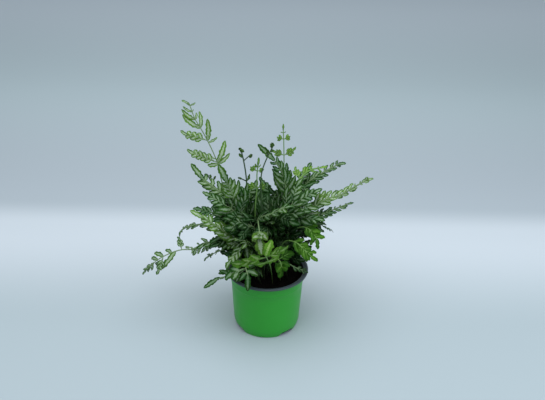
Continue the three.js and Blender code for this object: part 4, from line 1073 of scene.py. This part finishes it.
def grow_blade(leaves, rib, broad=USUAL_BROAD):
    """A rib with its pairs of lobes and the lobe at its end."""
    plan = rib.plan
    marks = np.linspace(0, rib.length - plan["end"] * 0.75, 3 + 2 * plan["pairs"])
    points, lefts, ups = rib.ribbon(marks)
    leaves.tube(points, lefts, ups, np.linspace(0.6, 0.4, len(marks)), 4, pale=0.6)
    covered = [points]
    if plan["pairs"]:
        marks = np.linspace(plan["stem"] * 0.7, rib.length - plan["end"] * 0.7, 2 + 3 * plan["pairs"])
        leaves.wing(*rib.ribbon(marks), np.linspace(0.6, 1, len(marks)) * WING_SHARE * plan["wide"])
    splay = math.radians(plan["splay"])
    for j in range(plan["pairs"]):
        s = plan["stem"] + (j + 0.5) * plan["pitch"]
        long = plan["long"] * (1 - plan["taper"] * j / plan["pairs"])
        wide = max(min(plan["wide"], plan["pitch"] * math.sin(splay)), 0.36 * long)
        for side in (1, -1):
            point, ahead, up, left = rib.place(s + side * 0.05 * plan["pitch"])
            spread = splay + leaves.rng.uniform(-0.1, 0.1)
            out = turned(ahead, left * side, spread)
            tilt = leaves.rng.uniform(-0.12, 0.18)
            covered.append(leaves.leaflet(
                point + left * side * 0.3, unit(out + up * tilt), unit(up - out * tilt), long,
                wide * max(broad, 1.05), foot=0.6, bow=0.35, cup=0.2, swing=0.3 * side,
            ))
    point, ahead, up, left = rib.place(rib.length - plan["end"] * 1.02)
    covered.append(leaves.leaflet(
        point, ahead, up, plan["end"] * 1.02, max(plan["end_wide"] * broad, plan["end"] * 0.26),
        foot=0.25, bow=0.3 + 0.4 * plan["sag"], cup=0.18, blunt=1.7, swing=0.45 * rib.side,
    ))
    return np.concatenate(covered)


def grow_coil(leaves, rib, girth):
    """A crozier: a stalk wound up at its end, with small leaf buds folded over it."""
    points, ins, aheads, left = rib.coil(SCENE_STEPS, 2)
    thick = 0.62 * girth
    leaves.tube(
        np.vstack((rib.place(0)[0], points)), np.broadcast_to(left, (len(points) + 1, 3)),
        np.vstack((ins[0], ins)), np.append(thick, np.linspace(thick, 0.45, len(points))), 6,
    )
    curl = rib.plan["curl"]
    for i in range(1, len(points) - 4, 2):
        for side in (1, -1):
            root = points[i] + left * side * 0.35
            out = unit(ins[i] * 0.75 + left * side * 0.55 + aheads[i] * 0.5)
            up = unit(left * side - out * (left @ out) * side)
            leaves.leaflet(root, out, up, curl * 1.5, curl * 0.85, foot=0.6, bow=1.1, cup=0.35)
        out = unit(aheads[i] * 0.9 - ins[i] * 0.2 + left * 0.3 * leaves.rng.uniform(-1, 1))
        up = unit(-ins[i] - out * (-ins[i] @ out))
        root = points[i] - ins[i] * 0.4
        leaves.leaflet(root, out, up, curl * 1.15, curl * 0.75, foot=0.7, bow=0.8, cup=0.2)
    return points


def comb_extras(frond, curve, rng):
    """Smaller leaflets between the pairs of a drawn frond's combs."""
    for start, stop, pairs, left, right, widths in frond["combs"]:
        begin, finish = curve.distance_at(start), curve.distance_at(stop)
        gap = (finish - begin) / (pairs - 1)
        for j in range(pairs - 1):
            share = (j + 0.5) / (pairs - 1)
            wide = between(*widths, share)
            for side, (angle, long, last) in ((1, left), (-1, right)):
                long = between(long, last, share) * rng.uniform(0.9, 1.1)
                plan = dict(
                    PLAIN, angle=angle * rng.uniform(0.65, 0.95), lift=rng.uniform(-9, 9),
                    sag=0.2, wide=wide, end_wide=wide, end=long,
                )
                yield begin + gap * (j + 0.5 + rng.uniform(-0.15, 0.15)), side, plan


def grown_extras(frond, curve, rng):
    """More pinnae along a frond that is grown by rule."""
    distance = curve.length * FILL_FROM
    while distance < curve.length * 0.99:
        for side in (1, -1):
            size = frond["size"] * rng.uniform(0.8, 1.15)
            pairs = int(rng.integers(0, 4))
            plan = dict(
                PLAIN, angle=rng.uniform(30, 75), lift=rng.uniform(-35, 40), sag=rng.uniform(0.1, 0.5),
                stem=2.5 * size, pitch=6.6 * size, pairs=pairs, long=11 * size, wide=6.2 * size,
                end=(15 if pairs else 20) * size, end_wide=(5.8 if pairs else 7) * size,
            )
            yield distance + rng.uniform(-1, 1), side, plan
        distance += FILL_STEP


def fill_in(leaves, frond, curve):
    """Leaves between those that the solids have, where there is room for them."""
    for distance, side, plan in (comb_extras if "path" in frond else grown_extras)(frond, curve, leaves.rng):
        blade = dict(distance=distance, side=side, plan=plan)
        settle_blades(frond, curve, [blade])
        rib = Rib(blade, dict(lift=0, sweep=0, size=1))
        probes = np.array([rib.place(rib.length * share)[0] for share in (0.55, 0.8, 1)])
        over_pot = np.hypot(probes[:, 0], probes[:, 1]) < RIM_RADIUS + RIM_CLEAR
        if (probes[:, 2] < np.where(over_pot, OPEN_HEIGHT, FLOOR_CLEAR)).any():
            continue
        if taken[boxes(probes)].sum() > CROWD:
            continue
        taken[boxes(grow_blade(leaves, rib))] = True


def grow_frond(owner, name):
    frond, curve = fronds[name], curves[name]
    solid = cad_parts["frond_" + name].data.vertices
    tree = kdtree.KDTree(len(solid))
    for i, vertex in enumerate(solid):
        tree.insert(vertex.co / MM, i)
    tree.balance()
    leaves = Foliage(owner, TINTS.get(name, GROWN_TINT if name in GROWN else DRAWN_TINT))
    stalk = curve.ribbon(np.linspace(0, curve.length, STALK_RINGS))
    leaves.tube(*stalk, np.linspace(1.0, 0.7, STALK_RINGS) * frond["girth"], 7)
    blades = (drawn_blades if "path" in frond else grown_blades)(frond, curve, owner)
    settle_blades(frond, curve, blades)
    for start, stop, pairs, _, _, widths in frond["combs"]:
        begin, finish = curve.distance_at(start), curve.distance_at(stop)
        marks = np.linspace(begin - 2, min(finish + 2, curve.length), 3 * pairs)
        leaves.wing(*curve.ribbon(marks), np.linspace(*widths, len(marks)) * WING_SHARE)
    for blade in blades:
        rib = find_rib(blade, tree)
        if rib is None:
            continue
        if rib.plan["curl"]:
            covered = grow_coil(leaves, rib, frond["girth"])
        else:
            covered = grow_blade(leaves, rib, BROAD.get(name, USUAL_BROAD))
        taken[boxes(covered)] = True
    return leaves


# How far a stalk's root turns and moves out and its middle moves back, the least change first
SHIFTS = sorted(
    ((turn, out, back) for turn in (0, 6, -6, 12, -12, 18, -18, 24, -24, 32, -32, 40, -40)
     for out in (0, 3, -3, 6) for back in (0, 3, -3, 6, -6)),
    key=lambda shift: abs(shift[0]) + 3 * abs(shift[1]) + 2 * abs(shift[2]),
)


def place_stalks():
    """Each stalk shifts its root, or its middle, until it is clear of the earlier ones, as in the solids."""
    placed = np.full((1, 3), 1e6)
    found = {}
    for name, frond in fronds.items():
        for shift in SHIFTS:
            curve = (drawn_curve if "path" in frond else grown_curve)(frond, shift)
            line = curve.line(math.ceil(curve.length / POINT_SPACING))
            above = line[line[:, 2] > SOIL_LEVEL - ROOT_DEPTH]
            if np.linalg.norm(above[:, None, :] - placed[None, :, :], axis=2).min() < STALKS_APART:
                continue
            found[name] = curve
            placed = np.vstack((placed, line))
            break
    return found


# How light each frond's leaves are, from 0 to 1, where it isn't the usual: partly their own tone and partly
# painted light and shade, lighter on fronds out in the light and darker on those at the back and low down
TINTS = dict(
    striped_left=0.95, tall_left=1, trailing_left=0.55, upper_left=0.35, middle_left=0.45, far_right=0.7,
    front_silver=0.9, front_bright=0.75, right_high=0.25, young_high=0.6, young_centre=0.4, young_right=0.5,
    rim_front=0.2, rim_right=0.2, low_right=0.2, hanging_right=0.5, hanging_near=0.5, front_left=0.7,
    centre_low=0.5, low_front_right=0.15, rear_centre=0.1, rear_right=0.15,
)

# How broad the leaflets are against those of the solids, where it isn't the usual
BROAD = dict(
    front_bright=1.35, striped_left=1.4, front_left=1.3, front_silver=1.25, far_right=1.3, right_high=1.3,
    tall_left=0.82, trailing_left=0.95, hanging_right=0.95, hanging_near=0.95, young_high=0.75,
    young_centre=0.75, young_right=0.8,
)

# The fronds of the fresh look among the young ones
FRESH = ("hanging_right", "hanging_near", "low_front_right")

fronds = {name: USUAL | values for name, values in DRAWN.items()}
fronds |= {name: USUAL | dict(zip(GROWN_KEYS, values)) for name, values in GROWN.items()}
curves = place_stalks()
make_pot()
make_soil()
grown = {name: grow_frond(owner, name) for owner, name in enumerate(fronds)}
for name in fronds:
    fill_in(grown[name], fronds[name], curves[name])
for name, leaves in grown.items():
    materials, slot = LOOKS["fresh" if name in FRESH else fronds[name]["look"]]
    settle(leaves.make("fern_" + name, materials), "frond_" + name, slot, 50)


# The stage, the light and the camera

FLOOR_CORNERS = ((-4000, -3000), (4000, -3000), (4000, 6000), (-4000, 6000))
SKY = (0.88, 0.95, 1.0, 1)
SKY_STRENGTH = 0.42


def make_stage():
    """A pale floor, wide enough to fill the picture."""
    corners = [(x, y, 0) for x, y in FLOOR_CORNERS]
    make_mesh("pale_floor", corners, [(0, 1, 2, 3)], [stage_material()])


def area_light(name, at, look_at, size, power, colour):
    light = bpy.data.lights.new(name, "AREA")
    light.energy = power
    light.size = size
    light.color = colour
    lamp = bpy.data.objects.new(name, light)
    lamp.location = Vector(at) * MM
    lamp.rotation_euler = (Vector(look_at) - Vector(at)).to_track_quat("-Z", "Y").to_euler()
    bpy.context.scene.collection.objects.link(lamp)


def make_light():
    world = bpy.data.worlds.new("sky")
    world.use_nodes = True
    background = world.node_tree.nodes["Background"]
    background.inputs["Color"].default_value = SKY
    background.inputs["Strength"].default_value = SKY_STRENGTH
    bpy.context.scene.world = world
    bpy.context.scene.view_settings.view_transform = "Standard"
    area_light("overhead", (-150, -250, 1500), (0, 0, 100), size=1.9, power=28, colour=(1, 1, 1))
    area_light("side", (1100, -500, 700), (0, 0, 150), size=1, power=5, colour=(0.92, 0.97, 1))


def make_camera():
    at, target = Vector(CAMERA_AT), Vector(CAMERA_LOOKS_AT)
    forward = (target - at).normalized()
    right = forward.cross(Vector((0, 0, 1))).normalized()
    above = right.cross(forward)
    roll = math.radians(CAMERA_ROLL)
    across, upward = turned(right, above, roll), turned(above, -right, roll)
    camera = bpy.data.cameras.new("camera")
    camera.lens = CAMERA_LENS
    camera.sensor_width = CAMERA_SENSOR
    camera.clip_start, camera.clip_end = 0.01, 20
    rig = bpy.data.objects.new("camera", camera)
    rig.matrix_world = Matrix.Translation(at * MM) @ Matrix((across, upward, -forward)).transposed().to_4x4()
    bpy.context.scene.collection.objects.link(rig)
    bpy.context.scene.camera = rig


make_stage()
make_light()
make_camera()
